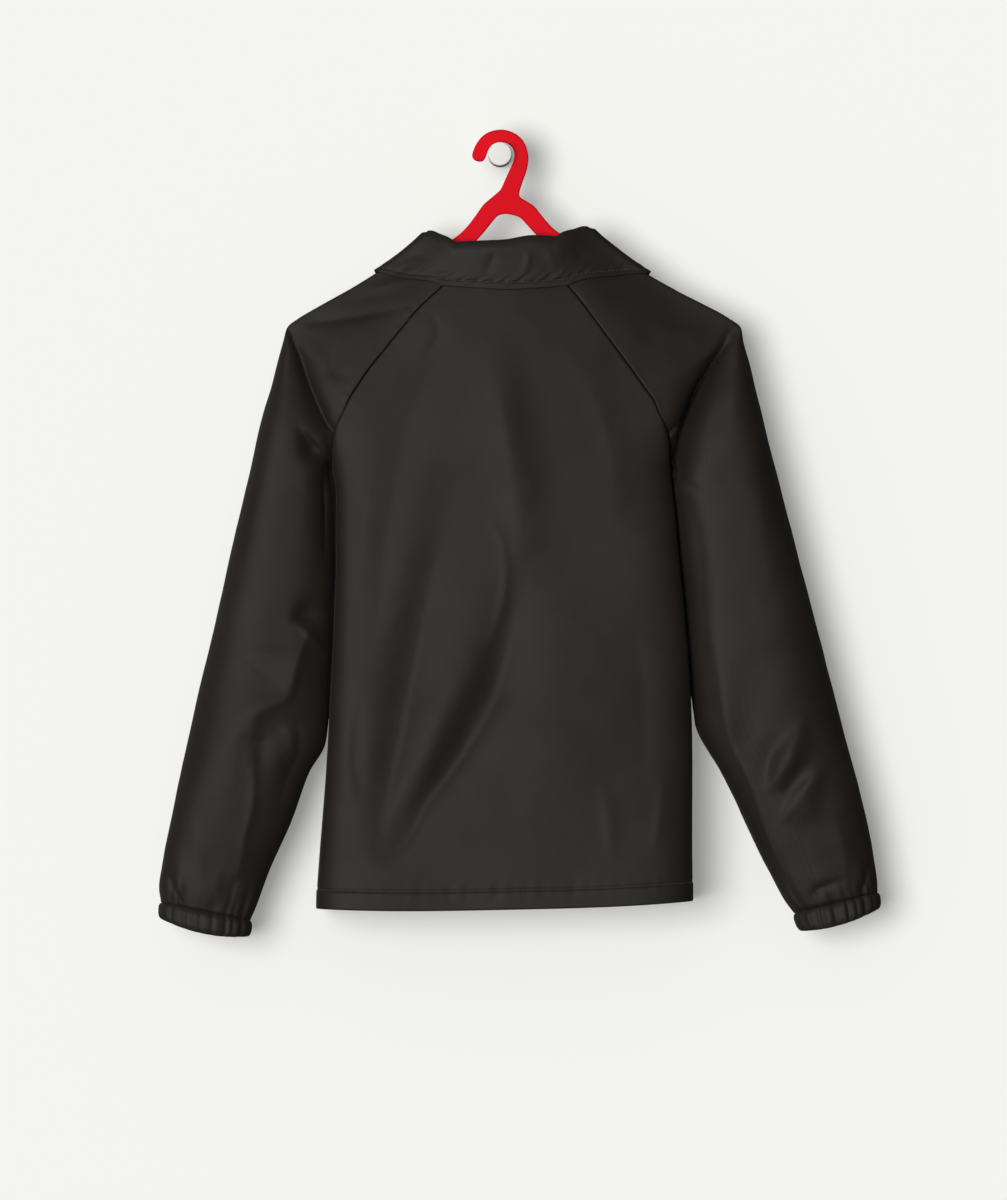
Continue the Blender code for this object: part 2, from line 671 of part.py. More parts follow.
def build_collar():
    """One folded wall: up the stand from the neck seam, over the roll, and down the fall."""
    back, front = np.linspace(0, 0.42, 8), np.linspace(0.58, COLLAR_END, 8)
    half = np.concatenate([back, COLLAR_SHOULDER_PLACES, front])
    places = np.concatenate([-half[:0:-1], half])
    seam = around_neck(np.zeros(len(places)), places)
    around = np.gradient(seam, axis=0)
    out = np.stack([around[:, 1], -around[:, 0], np.zeros(len(places))], axis=1)
    out /= np.linalg.norm(out, axis=1, keepdims=True)
    if np.sum(out * (seam - seam.mean(axis=0))) < 0:
        out = -out
    rise = read(COLLAR, "place", "rise", places)[:, None]
    stand_off = read(COLLAR, "place", "stand_off", places)[:, None]
    leaf_row = read(COLLAR, "place", "leaf_row", places)
    in_front = ease((np.abs(places[:, None]) - SLEEVE_SHARE) / LAP_SHARE)
    clear = CLOTH + COLLAR_CLEARANCE + LAP_STEP * in_front
    up = np.array([0, 0, 1.0])
    foot = seam - out * CLOTH / 2 + up * (CLOTH / 2 + SEAM_GAP)
    radius = stand_off / 2
    columns = [foot]
    roll_foot = foot + up * (rise - radius)
    for level in STAND_LEVELS:
        columns.append(foot + up * (rise - radius) * level)
    for turn in np.radians(ROLL_TURNS):
        columns.append(roll_foot + radius * (out * (1 + np.cos(turn)) + up * np.sin(turn)))
    down = np.linspace(0, 1, FINE_STEPS + 1)[:, None]
    spread = read(COLLAR, "place", "spread", places) * np.sign(places)
    skin = around_neck(down * leaf_row, places - down * spread)
    skin_normal = normals_of(skin)
    if np.sum(skin_normal * (skin - skin.mean(axis=(0, 1)))) < 0:
        skin_normal = -skin_normal
    for step in range(1, FALL_STEPS + 1):
        share = step / FALL_STEPS
        index = step * FINE_STEPS // FALL_STEPS
        lift = clear + (stand_off - CLOTH) * (1 - share) ** LIFT_POWER
        columns.append(skin[index] + skin_normal[index] * lift + up * rise * (1 - share) ** RISE_POWER)
    wall_from_middle("collar", np.stack(columns), CLOTH)


def wall_from_middle(name, middle, thickness, finish="nylon"):
    """A closed wall with half of its thickness on each side of the grid."""
    normal = normals_of(middle)
    wall(name, middle + normal * thickness / 2, thickness, None, finish)


def edge_lines(path):
    """The left and right edge of a band, from its centre line and widths."""
    run = np.concatenate([[0], np.cumsum(np.hypot(np.diff(path["x"]), np.diff(path["z"])))])
    at = np.linspace(0, run[-1], 2 * len(run) - 1)
    centre = np.stack([along(run, path["x"], at), along(run, path["z"], at)], axis=1)
    width = along(run, path["width"], at)
    way = np.gradient(centre, axis=0)
    way /= np.linalg.norm(way, axis=1, keepdims=True)
    left = np.stack([-way[:, 1], way[:, 0]], axis=1)
    return centre + left * width[:, None] / 2, centre - left * width[:, None] / 2, way[-1]


def round_end(first, last, bulge, count=5):
    """Points of a rounded end between two corners, bulging along the given direction."""
    angle = np.linspace(0, np.pi, count + 2)[1:-1, None]
    middle = (first + last) / 2
    return middle + (first - middle) * np.cos(angle) + bulge * np.sin(angle)


def build_hanger():
    """One flat plate with rounded edges: its outline runs round the hook and along both arms."""
    hook_left, hook_right, _ = edge_lines(HOOK)
    left_upper, left_lower, left_way = edge_lines(LEFT_ARM)
    right_upper, right_lower, right_way = edge_lines(RIGHT_ARM)
    hook_start = np.array([HOOK["x"][0] - HOOK["x"][1], HOOK["z"][0] - HOOK["z"][1]])
    hook_start /= np.linalg.norm(hook_start)
    outline = [
        round_end(hook_right[0], hook_left[0], hook_start * HOOK_END_BULGE),
        hook_left,
        right_upper,
        round_end(right_upper[-1], right_lower[-1], right_way * RIGHT_ARM["width"][-1] / 2),
        right_lower[::-1],
        [HANGER_CROTCH],
        left_upper,
        round_end(left_upper[-1], left_lower[-1], left_way * LEFT_ARM["width"][-1] / 2),
        left_lower[::-1],
        hook_right[::-1],
    ]
    outline = np.concatenate([np.asarray(stretch) for stretch in outline])
    count = len(outline)
    way = np.roll(outline, -1, axis=0) - np.roll(outline, 1, axis=0)
    way /= np.linalg.norm(way, axis=1, keepdims=True)
    inward = np.stack([way[:, 1], -way[:, 0]], axis=1)
    rings = []
    half = HANGER_THICKNESS / 2
    flank = half - HANGER_BEVEL
    for y, pulled in ((-half, HANGER_BEVEL), (-flank, 0), (flank, 0), (half, HANGER_BEVEL)):
        flat = outline + inward * pulled
        rings.append(np.stack([flat[:, 0], np.full(count, y - HANGER_DEPTH), flat[:, 1]], axis=1))
    verts = np.concatenate(rings)
    index = np.arange(len(verts)).reshape(len(rings), count)
    wrapped = np.concatenate([index, index[:, :1]], axis=1)
    faces = quads(wrapped) + [index[0].tolist(), index[-1][::-1].tolist()]
    new_object("hanger", verts, faces, "red_plastic")


def build_peg():
    """The round peg: a turned profile about the y axis, with its end softly rounded."""
    profile = table(
        "radius y",
        (0, 0),
        (PEG_RADIUS, 0),
        (PEG_RADIUS, 1.2 - PEG_LENGTH),
        (PEG_RADIUS - 0.4, 0.35 - PEG_LENGTH),
        (PEG_RADIUS - 1.2, -PEG_LENGTH),
        (0, -PEG_LENGTH),
    )
    turned("wall_peg", profile["radius"], profile["y"], 24, (0, 0, 0), "pale_wood")


def turned(name, radius, y, sides, centre, finish):
    """A solid turned about a line along y through centre."""
    angle = np.linspace(0, 2 * np.pi, sides + 1)[None, :]
    radius, y = np.asarray(radius)[:, None], np.asarray(y)[:, None]
    points = np.stack(np.broadcast_arrays(radius * np.cos(angle), y, radius * np.sin(angle)), axis=-1)
    points = points + np.asarray(centre)
    index = np.arange(points.shape[0] * points.shape[1]).reshape(points.shape[:2])
    index[:, -1] = index[:, 0]
    index[radius[:, 0] == 0] = index[radius[:, 0] == 0][:, :1]
    faces = [list(dict.fromkeys(face)) for face in quads(index)]
    faces = [face for face in faces if len(face) > 2]
    return new_object(name, points.reshape(-1, 3), faces, finish)


def build_snaps():
    """Snap caps down the lapped front, each seated on the cloth that it is fixed to."""
    rows = np.linspace(0, HEM_ROW, 401)
    middle = front_skin(rows, np.full(rows.shape, MIDDLE_LINE_SHARE), "left")
    for number, height in enumerate(SNAP_HEIGHTS, start=1):
        near = np.abs(middle[:, 2] - height) < SNAP_PROFILE["radius"][0] + 1
        seat = middle[near, 1].max() + SEAM_GAP
        y = seat + SNAP_PROFILE["height"]
        radius = np.concatenate([[0], SNAP_PROFILE["radius"]])
        y = np.concatenate([[seat], y])
        turned(f"snap_{number}", radius, y, SNAP_SIDES, (MIDDLE_X, 0, height), "snap_cap")


def main():
    for obj in list(bpy.data.objects):
        bpy.data.objects.remove(obj)
    build_body()
    for side in ("left", "right"):
        build_sleeve(side)
        build_cuff(side)
    build_collar()
    build_snaps()
    build_hanger()
    build_peg()


main()
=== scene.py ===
"""Finished looks of a coach jacket on its hanger: cloth, seams, stitches, snaps, plastic and wood.

Each cut piece is a closed thin shell on a fine grid over the same skin as the solids, with its
creases, gathers and seam puckers raised in the mesh. Tables and sizes are in millimetres.
"""

import bmesh
import bpy
import numpy as np
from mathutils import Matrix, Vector


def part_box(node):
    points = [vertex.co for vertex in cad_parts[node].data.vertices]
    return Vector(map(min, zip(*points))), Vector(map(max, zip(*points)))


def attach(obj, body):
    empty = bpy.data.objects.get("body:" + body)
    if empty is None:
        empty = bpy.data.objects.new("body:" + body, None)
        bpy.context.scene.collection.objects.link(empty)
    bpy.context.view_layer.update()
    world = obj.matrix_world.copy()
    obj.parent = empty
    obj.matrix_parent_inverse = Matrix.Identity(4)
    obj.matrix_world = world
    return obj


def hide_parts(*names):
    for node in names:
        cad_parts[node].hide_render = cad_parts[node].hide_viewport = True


bl_info = {
    "name": "Coach jacket on a hanger",
    "version": (1, 0, 0),
    "blender": (4, 5, 0),
    "location": "3D View > Sidebar > Jacket",
    "description": "Builds the cloth, stitches, snaps, hanger, peg and studio of a coach jacket",
    "category": "Add Mesh",
}

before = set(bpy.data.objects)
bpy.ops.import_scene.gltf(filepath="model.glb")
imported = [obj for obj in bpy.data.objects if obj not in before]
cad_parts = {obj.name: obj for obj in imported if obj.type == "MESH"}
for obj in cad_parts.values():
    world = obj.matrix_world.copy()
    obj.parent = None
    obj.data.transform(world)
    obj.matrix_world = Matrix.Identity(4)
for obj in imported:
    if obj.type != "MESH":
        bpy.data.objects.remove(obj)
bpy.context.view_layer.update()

MM = 0.001

# Driving sizes
HANGER_DEPTH = 52.0
HANGER_THICKNESS = 5.0
CLOTH = 1.5
SEAM_GAP = 0.3
MIDDLE_X = 6.0
LAP = 12.0
LAP_STEP = 1.6
UNDERARM_ROW = 12
HEM_ROW = 20
CUFF_ROW = 22


def table(columns, text):
    """A dictionary of a table's named columns, from its rows of numbers, a row a line."""
    rows = [line.split() for line in text.strip().splitlines()]
    return dict(zip(columns.split(), np.array(rows, float).T))


def chains(columns, text):
    """A table of chains of points, with a chain column that numbers them.

    Commas part the points of a chain, and semicolons part the chains.
    """
    rows = []
    for number, chain in enumerate(text.split(";")):
        rows += [[number, *point.split()] for point in chain.split(",")]
    return dict(zip(("chain " + columns).split(), np.array(rows, float).T))


# The top of the shoulders: the height that the cloth's upper edge has at each x.
SHOULDER_LINE = table("x z", """
    -181 -147.5
    -174.3 -141.1
    -160.7 -132.6
    -127.5 -114.6
    -105.7 -101.3
    -59.5 -72.8
    6 -50
    73.1 -69.3
    102 -87
    128.9 -103.6
    150.5 -115.6
    182.8 -132.6
    198 -141.1
    205 -148
""")

# Each sleeve by rows. Above the underarm the seam is the raglan seam and the edge is the
# shoulder line, then the sleeve's outer edge. Below it the seam column is the inner edge.
# sunk is how much of the body's depth is left at the seam, and at the fold that runs from the
# shoulder tip to the underarm. fold is where on the row that fold lies, from 0 at the seam
# to 1 at the edge. crown is the sleeve's own half depth.
SLEEVE_COLUMNS = "row seam_x seam_z edge_x edge_z sunk fold crease crown"
SLEEVES = {
    "left": table(SLEEVE_COLUMNS, """
    0 -38.3 -96.9 -59.5 -72.8 1 1 1 6
    1 -46.8 -109.7 -82.5 -86.8 1 1 1 6
    2 -68 -130.1 -105.7 -101.3 1 1 1 6
    3 -82.5 -147.1 -127.5 -114.6 1 1 1 6
    4 -96.9 -164.9 -151.3 -127.8 1 1 1 6
    5 -110.5 -181.9 -171.5 -139.5 1 1 1 6
    6 -118.2 -193 -181 -147.5 1 1 1 7
    7 -127.5 -207.4 -184.7 -159.5 1 0.75 0.6 13
    8 -133.5 -218.5 -190 -178.5 0.95 0.47 0.62 18
    9 -138.6 -228.7 -195.1 -198.9 0.84 0.2 0.66 22
    10 -142 -238.9 -200.6 -217.6 0.62 0 0.62 25
    11 -143.2 -253.3 -204.9 -235.5 0.33 0 0.33 27
    12 -142.8 -268.6 -209.1 -255.9 0 0 0 28
    13 -139.9 -295 -218.4 -294.1 0 0 0 29
    14 -140.2 -351.1 -228.7 -336.6 0 0 0 29
    15 -141.9 -396.1 -238 -379.1 0 0 0 29
    16 -143.8 -440.3 -247.4 -421.6 0 0 0 30
    17 -147.2 -497 -257.6 -464.1 0 0 0 31
    18 -162.4 -527 -266.9 -506.6 0 0 0 30
    19 -176.8 -567 -276.3 -549.1 0 0 0 27
    20 -195.1 -607.8 -284.8 -591.6 0 0 0 23
    21 -205.7 -635.8 -289.4 -621.4 0 0 0 21
    22 -211.7 -651.1 -288.2 -635.8 0 0 0 19
"""),
    "right": table(SLEEVE_COLUMNS, """
    0 47.6 -96.9 73.1 -69.3 1 1 1 6
    1 57 -110.5 97.8 -84.2 1 1 1 6
    2 71.4 -128.4 123.3 -100.2 1 1 1 6
    3 85 -147.1 146.2 -113.4 1 1 1 6
    4 99.5 -166.6 170.9 -126.4 1 1 1 6
    5 113.9 -186.2 193 -138.4 1 1 1 6
    6 122.4 -198.1 205 -148 1 1 1 7
    7 130.9 -210 207.2 -159.5 1 0.65 0.56 13
    8 136 -220.2 212.5 -178.5 0.95 0.4 0.55 19
    9 140.3 -229.5 217.2 -198.9 0.82 0.2 0.57 24
    10 143.7 -240.6 221.9 -217.6 0.5 0 0.5 27
    11 144.9 -254.2 226.1 -235.5 0.25 0 0.25 29
    12 145.4 -268.6 230.8 -254.2 0 0 0 30
    13 148.7 -295 241.4 -294.1 0 0 0 31
    14 154.3 -355.3 252.5 -336.6 0 0 0 31
    15 158.7 -399.5 263.5 -379.1 0 0 0 31
    16 162.2 -443.7 274.6 -421.6 0 0 0 31
    17 165.2 -482.8 285.6 -464.1 0 0 0 31
    18 187.9 -526.2 296.7 -506.6 0 0 0 30
    19 208.3 -567 307.7 -549.1 0 0 0 27
    20 227 -606.9 317.1 -591.6 0 0 0 23
    21 241.4 -633.3 320.9 -621.4 0 0 0 21
    22 249.9 -645.2 321.3 -627.3 0 0 0 19
"""),
}

# The casings below those last rows: the band's inner and outer edge at its lower rim, and how
# far the rim bows down between them.
CASINGS = {
    "left": {"seam": (-212.9, -665), "edge": (-289.4, -649.5), "sag": 5.5},
    "right": {"seam": (255, -660.5), "edge": (323, -641), "sag": 4.5},
}

# The body below the underarms, by rows: its side edges, and how far the middle hangs lower.
BODY = table("row left_x left_z right_x right_z sag", """
    12 -142.8 -268.6 145.4 -268.6 0
    13 -139.9 -292 148 -292 0
    14 -139.9 -340 152.5 -340 0
    15 -142 -400 158.5 -400 1
    16 -144.6 -460 162.8 -460 2
    17 -148.2 -520 164 -520 2.5
    18 -152.8 -580 164 -577 3
    19 -155.4 -620 164 -614 3.5
    20 -156.4 -641 164 -634.5 4
""")
NECK_SAG = table("row back front", """
    0 2 31
    1 3 24
    2 2 17
    4 0 6
    7 0 0
    12 0 0
""")

# The largest folds, as soft ridges (rise above 0) and troughs along chains of points.
FOLD_COLUMNS = "x z width rise"
BACK_FOLDS = chains(FOLD_COLUMNS, """
    -4 -150 16 0, 4 -230 22 3.2, 21 -349 20 0.5;
    -38 -260 20 0, -62 -380 26 -3.6, -88 -520 22 -3, -108 -600 18 0;
    24 -340 18 0, -4 -456 20 -3.8, -46 -530 18 -4, -104 -602 16 0;
    -6 -400 16 0, -50 -480 18 3, -92 -580 14 0;
    62 -380 40 0, 48 -500 46 4, 24 -610 34 1
""")
FRONT_FOLDS = chains(FOLD_COLUMNS, """
    -70 -170 18 0, -62 -330 24 -3, -84 -560 22 0;
    -100 -350 26 0, -112 -480 26 3, -96 -620 20 0;
    78 -180 18 0, 84 -340 24 -3.2, 108 -590 22 0;
    52 -380 22 0, 66 -520 26 3.2, 60 -630 20 0
""")
SLEEVE_FOLDS = {
    "left": chains(FOLD_COLUMNS, """
    -174 -392 8 0, -163 -388 10 -3, -150 -382 8 0;
    -209 -474 8 0, -208 -500 12 -4, -212 -560 14 -3, -224 -610 8 0;
    -166 -236 7 0, -160 -252 8 -4, -148 -262 6 0
"""),
    "right": chains(FOLD_COLUMNS, """
    262 -488 10 0, 246 -512 12 3, 228 -540 8 0;
    276 -508 8 0, 258 -556 10 2.4, 247 -570 8 0;
    214 -420 18 0, 208 -500 18 -3, 236 -590 14 0
"""),
}

# The collar by columns, from one front end (-1) over the back (0) to the other (1).
# rise is the roll's height above the neck seam, stand_off its distance out from the stand,
# leaf_row the skin's row that the fall's edge reaches, and spread how far that edge leans
# away from the front's middle.
COLLAR = table("place rise stand_off leaf_row spread", """
    -1 7 3.2 3.5 0.12
    -0.9 9 3.6 3.3 0.07
    -0.74 11 4 2.7 0.01
    -0.6 8 3.6 2.1 0
    -0.5 6 3.4 1.98 0
    -0.4 11.5 3.8 1.7 0
    -0.3 20.5 4.6 1.15 0
    -0.15 23 5 1.12 0
    0 24.5 5 1.15 0
    0.15 27.5 5 1.12 0
    0.3 25 4.6 1.1 0
    0.4 13 3.8 1.7 0
    0.5 6 3.4 2.15 0
    0.6 8 3.6 2.2 0
    0.74 11 4 2.7 0.01
    0.9 9 3.6 3.3 0.07
    1 7 3.2 3.5 0.12
""")
COLLAR_END = 0.985
# The places of its columns, closer together over the shoulders, and its rows: up the stand,
# over the roll and down the fall, whose first rows the roll stands for.
COLLAR_STRETCHES = ((0, 0.44, 78), (0.44, 0.56, 48), (0.56, COLLAR_END, 76))
STAND_ROWS = 6
ROLL_ROWS = 8
FALL_ROWS = 41
FALL_SKIPS = 4
FALL_FROM = STAND_ROWS + ROLL_ROWS
# The back's and the sleeves' shares of the way round the neck.
BACK_SHARE = 0.3
SLEEVE_SHARE = 0.7

# The hanger: centre lines and widths of its hook and its two arms, the point where the arms'
# upper edges meet, the rounding of its edges, and how finely its outline is drawn.
HOOK_END_BULGE = 3.4
ARMS_MEET = (5.6, -50.4)
HANGER_BEVEL = 1.3
OUTLINE_POINTS = 720
OUTLINE_ROUNDS = 6
HANGER_COLUMNS = "x z width"
HOOK = table(HANGER_COLUMNS, """
    -18.4 -3.2 12.2
    -16.8 2.4 11.8
    -13.8 8.4 11.2
    -8 13.9 10.6
    0.9 15.9 10.4
    10.6 12.9 10.6
    16.9 5.6 10.8
    18.4 -2.7 11.8
    16.4 -11.5 13.4
    11.9 -22.5 14.5
    8 -33.2 15.7
""")
LEFT_ARM = table(HANGER_COLUMNS, """
    -8.1 -47.2 15.2
    -15.3 -57 14.4
    -23.4 -67 14
    -33.5 -76 13.6
    -68 -92.5 14
    -105.7 -112.7 14
    -136 -130.9 13.6
    -166 -149.9 12.4
""")
RIGHT_ARM = table(HANGER_COLUMNS, """
    23 -48.5 15.4
    31.9 -59.2 14.4
    42 -69.6 14
    85 -91.4 14
    128.9 -116.1 14
    170 -140.1 13.6
    190 -152.3 12.4
""")

# The body's half depth: EDGE_DEPTH at the shoulder line, and CHEST_FULLNESS more once it is
# well past CHEST_DROP below that line. From FULLER_FROM_Z down to the hem it grows by
# HEM_FULLNESS, slowly at first.
EDGE_DEPTH = 6.0
CHEST_FULLNESS = 27.0
CHEST_DROP = 85.0
FULLER_FROM_Z = -180.0
HEM_Z = -641.0
HEM_FULLNESS = 14.0
HEM_FULLNESS_POWER = 1.4

# Powers of the superellipses that the sections follow: 2 is an ellipse and more is boxier.
# A sleeve's side towards the body is pinched at the shoulder and rounds off by the underarm.
BODY_POWER = 6.0
SLEEVE_POWER = 2.7
SLEEVE_PINCH_POWER = 1.2
EDGE_POWER = 12.0
DIP_POWER = 2.6
ROUNDS_FROM_ROW = 9.0
TYPICAL_HALF_WIDTH = 152.0
TYPICAL_HALF_DEPTH = 44.0

# The fronts are parted over this distance from the middle line, on top of the lap.
LAP_BLEND = 40.0
FRONT_FOLD_SHARE = 0.7

# The casing starts just inside the sleeve's end. It is fuller at these shares of its length.
CASING_START = -0.3
CASING_FULLNESS = table("down fuller", """
    0 0
    0.3 1.6
    0.7 1.4
    1 -0.2
""")

SNAP_HEIGHTS = (-190, -294, -398, -502, -606)


def slopes_of(known, values):
    """Slopes of a smooth curve through the points that never overshoots them."""
    step = np.diff(known)
    rise = np.diff(values) / step
    slope = np.zeros(len(known))
    slope[0], slope[-1] = rise[0], rise[-1]
    same_way = rise[:-1] * rise[1:] > 0
    before = step[:-1] + 2 * step[1:]
    after = 2 * step[:-1] + step[1:]
    safe = np.where(same_way, 1, np.inf)
    mean = before / np.where(same_way, rise[:-1], safe)
    mean += after / np.where(same_way, rise[1:], safe)
    slope[1:-1] = np.where(same_way, (before + after) / np.where(same_way, mean, 1), 0)
    return slope


def along(known, values, at):
    """The value at each place, on a smooth curve through a table's rows."""
    slope = slopes_of(known, values)
    low = np.clip(np.searchsorted(known, at, side="right") - 1, 0, len(known) - 2)
    step = known[low + 1] - known[low]
    t = np.clip((at - known[low]) / step, 0, 1)
    return (
        values[low] * (1 + 2 * t) * (1 - t) ** 2
        + values[low + 1] * t**2 * (3 - 2 * t)
        + step * t * (1 - t) * (slope[low] * (1 - t) - slope[low + 1] * t)
    )


def read(source, key, column, at):
    return along(source[key], source[column], at)


def ease(t):
    """0 below 0, 1 above 1, and a smooth step between."""
    t = np.clip(t, 0, 1)
    return t * t * (3 - 2 * t)


def arch(place, power):
    """Height of a superellipse of half width and height 1 at a place from -1 to 1."""
    return (1 - np.clip(np.abs(place), 0, 1) ** power) ** (1 / power)


def bell(away, width):
    """A bell curve of a distance: 1 at 0, and about a third at the width."""
    return np.exp(-((away / width) ** 2))


def unit(vectors):
    """The vectors of the last axis at length 1."""
    return vectors / np.linalg.norm(vectors, axis=-1, keepdims=True)


def cumulative(steps):
    """The distance from the start at each point of a line, from its steps."""
    return np.concatenate([[0], np.cumsum(steps)])


def fold_height(folds, x, z):
    """How far the folds lift the cloth at each point: a bell curve across each chain."""
    height = np.zeros(np.shape(x))
    for chain in np.unique(folds["chain"]):
        rows = np.flatnonzero(folds["chain"] == chain)
        best = np.zeros(np.shape(x))
        for low, high in zip(rows[:-1], rows[1:]):
            ax, az = folds["x"][low], folds["z"][low]
            bx, bz = folds["x"][high] - ax, folds["z"][high] - az
            t = np.clip(((x - ax) * bx + (z - az) * bz) / (bx * bx + bz * bz), 0, 1)
            away = np.hypot(x - ax - t * bx, z - az - t * bz)
            width = folds["width"][low] * (1 - t) + folds["width"][high] * t
            rise = folds["rise"][low] * (1 - t) + folds["rise"][high] * t
            here = rise * bell(away, width)
            best = np.where(np.abs(here) > np.abs(best), here, best)
        height += best
    return height


def body_depth(x, z):
    """Half depth of the body at a point: thin at the shoulder line and fuller further down."""
    below = np.maximum(read(SHOULDER_LINE, "x", "z", x) - z, 0)
    lower = np.maximum(FULLER_FROM_Z - z, 0) / (FULLER_FROM_Z - HEM_Z)
    chest = CHEST_FULLNESS * (1 - np.exp(-below / CHEST_DROP))
    return EDGE_DEPTH + chest + HEM_FULLNESS * lower**HEM_FULLNESS_POWER


def round_box(t):
    """Places along a superellipse's width, from -1 to 1, that share its outline out evenly."""
    angle = np.linspace(0, np.pi, 2001)
    place = -np.sign(np.cos(angle)) * np.abs(np.cos(angle)) ** (2 / BODY_POWER)
    height = np.sin(angle) ** (2 / BODY_POWER)
    run = np.hypot(np.diff(place) * TYPICAL_HALF_WIDTH, np.diff(height) * TYPICAL_HALF_DEPTH)
    length = cumulative(run)
    return np.interp((t + 1) / 2, length / length[-1], place)


def body_skin(row, across, face):
    """Points of the body's back (face -1) or front (face 1), across from -1 at the left seam to 1.

    Each row goes from one seam to the other. Its depth rises from the seam's own depth as
    a superellipse, and the folds are added.
    """
    row, across = np.broadcast_arrays(row, across)
    top = np.minimum(row, UNDERARM_ROW)
    low = np.maximum(row, UNDERARM_ROW)
    above = row < UNDERARM_ROW
    edge = {}
    for side in SLEEVES:
        for axis in "xz":
            upper = read(SLEEVES[side], "row", "seam_" + axis, top)
            lower = read(BODY, "row", side + "_" + axis, low)
            edge[side, axis] = np.where(above, upper, lower)
    even = 1 - ease((row - ROUNDS_FROM_ROW) / (UNDERARM_ROW - ROUNDS_FROM_ROW))
    place = even * across + (1 - even) * round_box(across)
    share = (1 + place) / 2
    middle = (edge["left", "x"] + edge["right", "x"]) / 2
    half = (edge["right", "x"] - edge["left", "x"]) / 2 - SEAM_GAP
    x = middle + half * place
    neck = read(NECK_SAG, "row", "back" if face < 0 else "front", top)
    hem_sag = read(BODY, "row", "sag", low) * (1 - np.abs(place) ** 3)
    sag = np.where(above, neck * (1 - place**2), hem_sag)
    z = edge["left", "z"] * (1 - share) + edge["right", "z"] * share - sag
    seam_depth = 0
    for side, part in (("left", 1 - share), ("right", share)):
        sunk = read(SLEEVES[side], "row", "sunk", top)
        seam_depth = seam_depth + part * sunk * body_depth(edge[side, "x"], edge[side, "z"])
    seam_depth = np.maximum(np.where(above, seam_depth, 0), SEAM_GAP)
    folds = BACK_FOLDS if face < 0 else FRONT_FOLDS
    depth = body_depth(x, z) + fold_height(folds, x, z)
    swell = arch(place, BODY_POWER)
    half_depth = seam_depth + (depth - seam_depth) * swell
    return np.stack([x, face * half_depth - HANGER_DEPTH, z], axis=-1)


def sleeve_skin(side, row, turn):
    """Points of a sleeve, turn going from -1 at the back seam over 0 at its edge to 1 at the front.

    Across a row the cloth first follows the body's slope, dips to the fold at the underarm,
    and then swells to the sleeve's own crown, which is a superellipse.
    """
    row, turn = np.broadcast_arrays(row, turn)
    value = {name: read(SLEEVES[side], "row", name, row) for name in SLEEVES[side] if name != "row"}
    angle = np.pi * (1 - np.abs(turn))
    spread = np.sign(np.cos(angle)) * np.abs(np.cos(angle)) ** (2 / SLEEVE_POWER)
    rounding = ease((row - ROUNDS_FROM_ROW) / (UNDERARM_ROW - ROUNDS_FROM_ROW))
    place = rounding * (1 - spread) / 2 + (1 - rounding) * np.sin(angle / 2)
    run_x = value["edge_x"] - value["seam_x"]
    run_z = value["edge_z"] - value["seam_z"]
    start = SEAM_GAP / np.hypot(run_x, run_z)
    share = start + (1 - start) * place
    x = value["seam_x"] + share * run_x
    z = value["seam_z"] + share * run_z
    fold = value["fold"]
    yoke = body_depth(x, z) * value["sunk"]
    fold_x = value["seam_x"] + fold * run_x
    fold_z = value["seam_z"] + fold * run_z
    crease = value["crease"] * body_depth(fold_x, fold_z)
    dip = np.clip(place / np.maximum(fold, 0.01), 0, 1) ** DIP_POWER
    inner = yoke * (1 - dip) + crease * dip
    t = np.clip((place - fold) / np.maximum(1 - fold, 0.01), 0, 1)
    pinched = SLEEVE_PINCH_POWER + (SLEEVE_POWER - SLEEVE_PINCH_POWER) * rounding
    power = np.where(t < 0.5, pinched, SLEEVE_POWER)
    swell = (1 - np.abs(2 * t - 1) ** SLEEVE_POWER) ** (1 / power)
    outer = value["crown"] * swell + crease * (1 - t) * (1 - swell)
    half_depth = np.where(place < fold, inner, outer) * arch(place, EDGE_POWER)
    folds = fold_height(SLEEVE_FOLDS[side], x, z) * np.where(turn < 0, 1, FRONT_FOLD_SHARE)
    half_depth = half_depth + swell * folds
    return np.stack([x, np.sign(turn) * half_depth - HANGER_DEPTH, z], axis=-1)


def front_skin(row, toward_middle, side):
    """Points of one front, from its seam (0) past the middle line (1) to its lapped edge.

    The left front lies over the right one, so the two are parted near the middle.
    """
    row, toward_middle = np.broadcast_arrays(row, toward_middle)
    outward = -1 if side == "left" else 1
    ends = body_skin(row, np.full(row.shape, outward * 1.0), 1)
    centre = body_skin(row, np.zeros(row.shape), 1)
    lap_share = LAP / np.abs(ends[..., 0] - centre[..., 0])
    across = outward * (1 - toward_middle * (1 + lap_share))
    points = body_skin(row, across, 1)
    near_middle = ease(1 - (np.abs(points[..., 0] - MIDDLE_X) - LAP) / LAP_BLEND)
    points[..., 1] += -outward * LAP_STEP * near_middle
    return points


def around_neck(row, place):
    """Points of the whole skin at a row, from the front's middle (-1) over the back (0) to 1."""
    row, place = np.broadcast_arrays(row, place)
    points = np.zeros(row.shape + (3,))
    size = np.abs(place)
    for side, sign in (("left", -1), ("right", 1)):
        here = (size > BACK_SHARE) & (size <= SLEEVE_SHARE) & (place * sign > 0)
        turn = 2 * (size - BACK_SHARE) / (SLEEVE_SHARE - BACK_SHARE) - 1
        points[here] = sleeve_skin(side, row, turn)[here]
    back = size <= BACK_SHARE
    points[back] = body_skin(row, place / BACK_SHARE, -1)[back]
    front = size > SLEEVE_SHARE
    across = np.sign(place) * (1 - (size - SLEEVE_SHARE) / (1 - SLEEVE_SHARE))
    points[front] = body_skin(row, across, 1)[front]
    return points


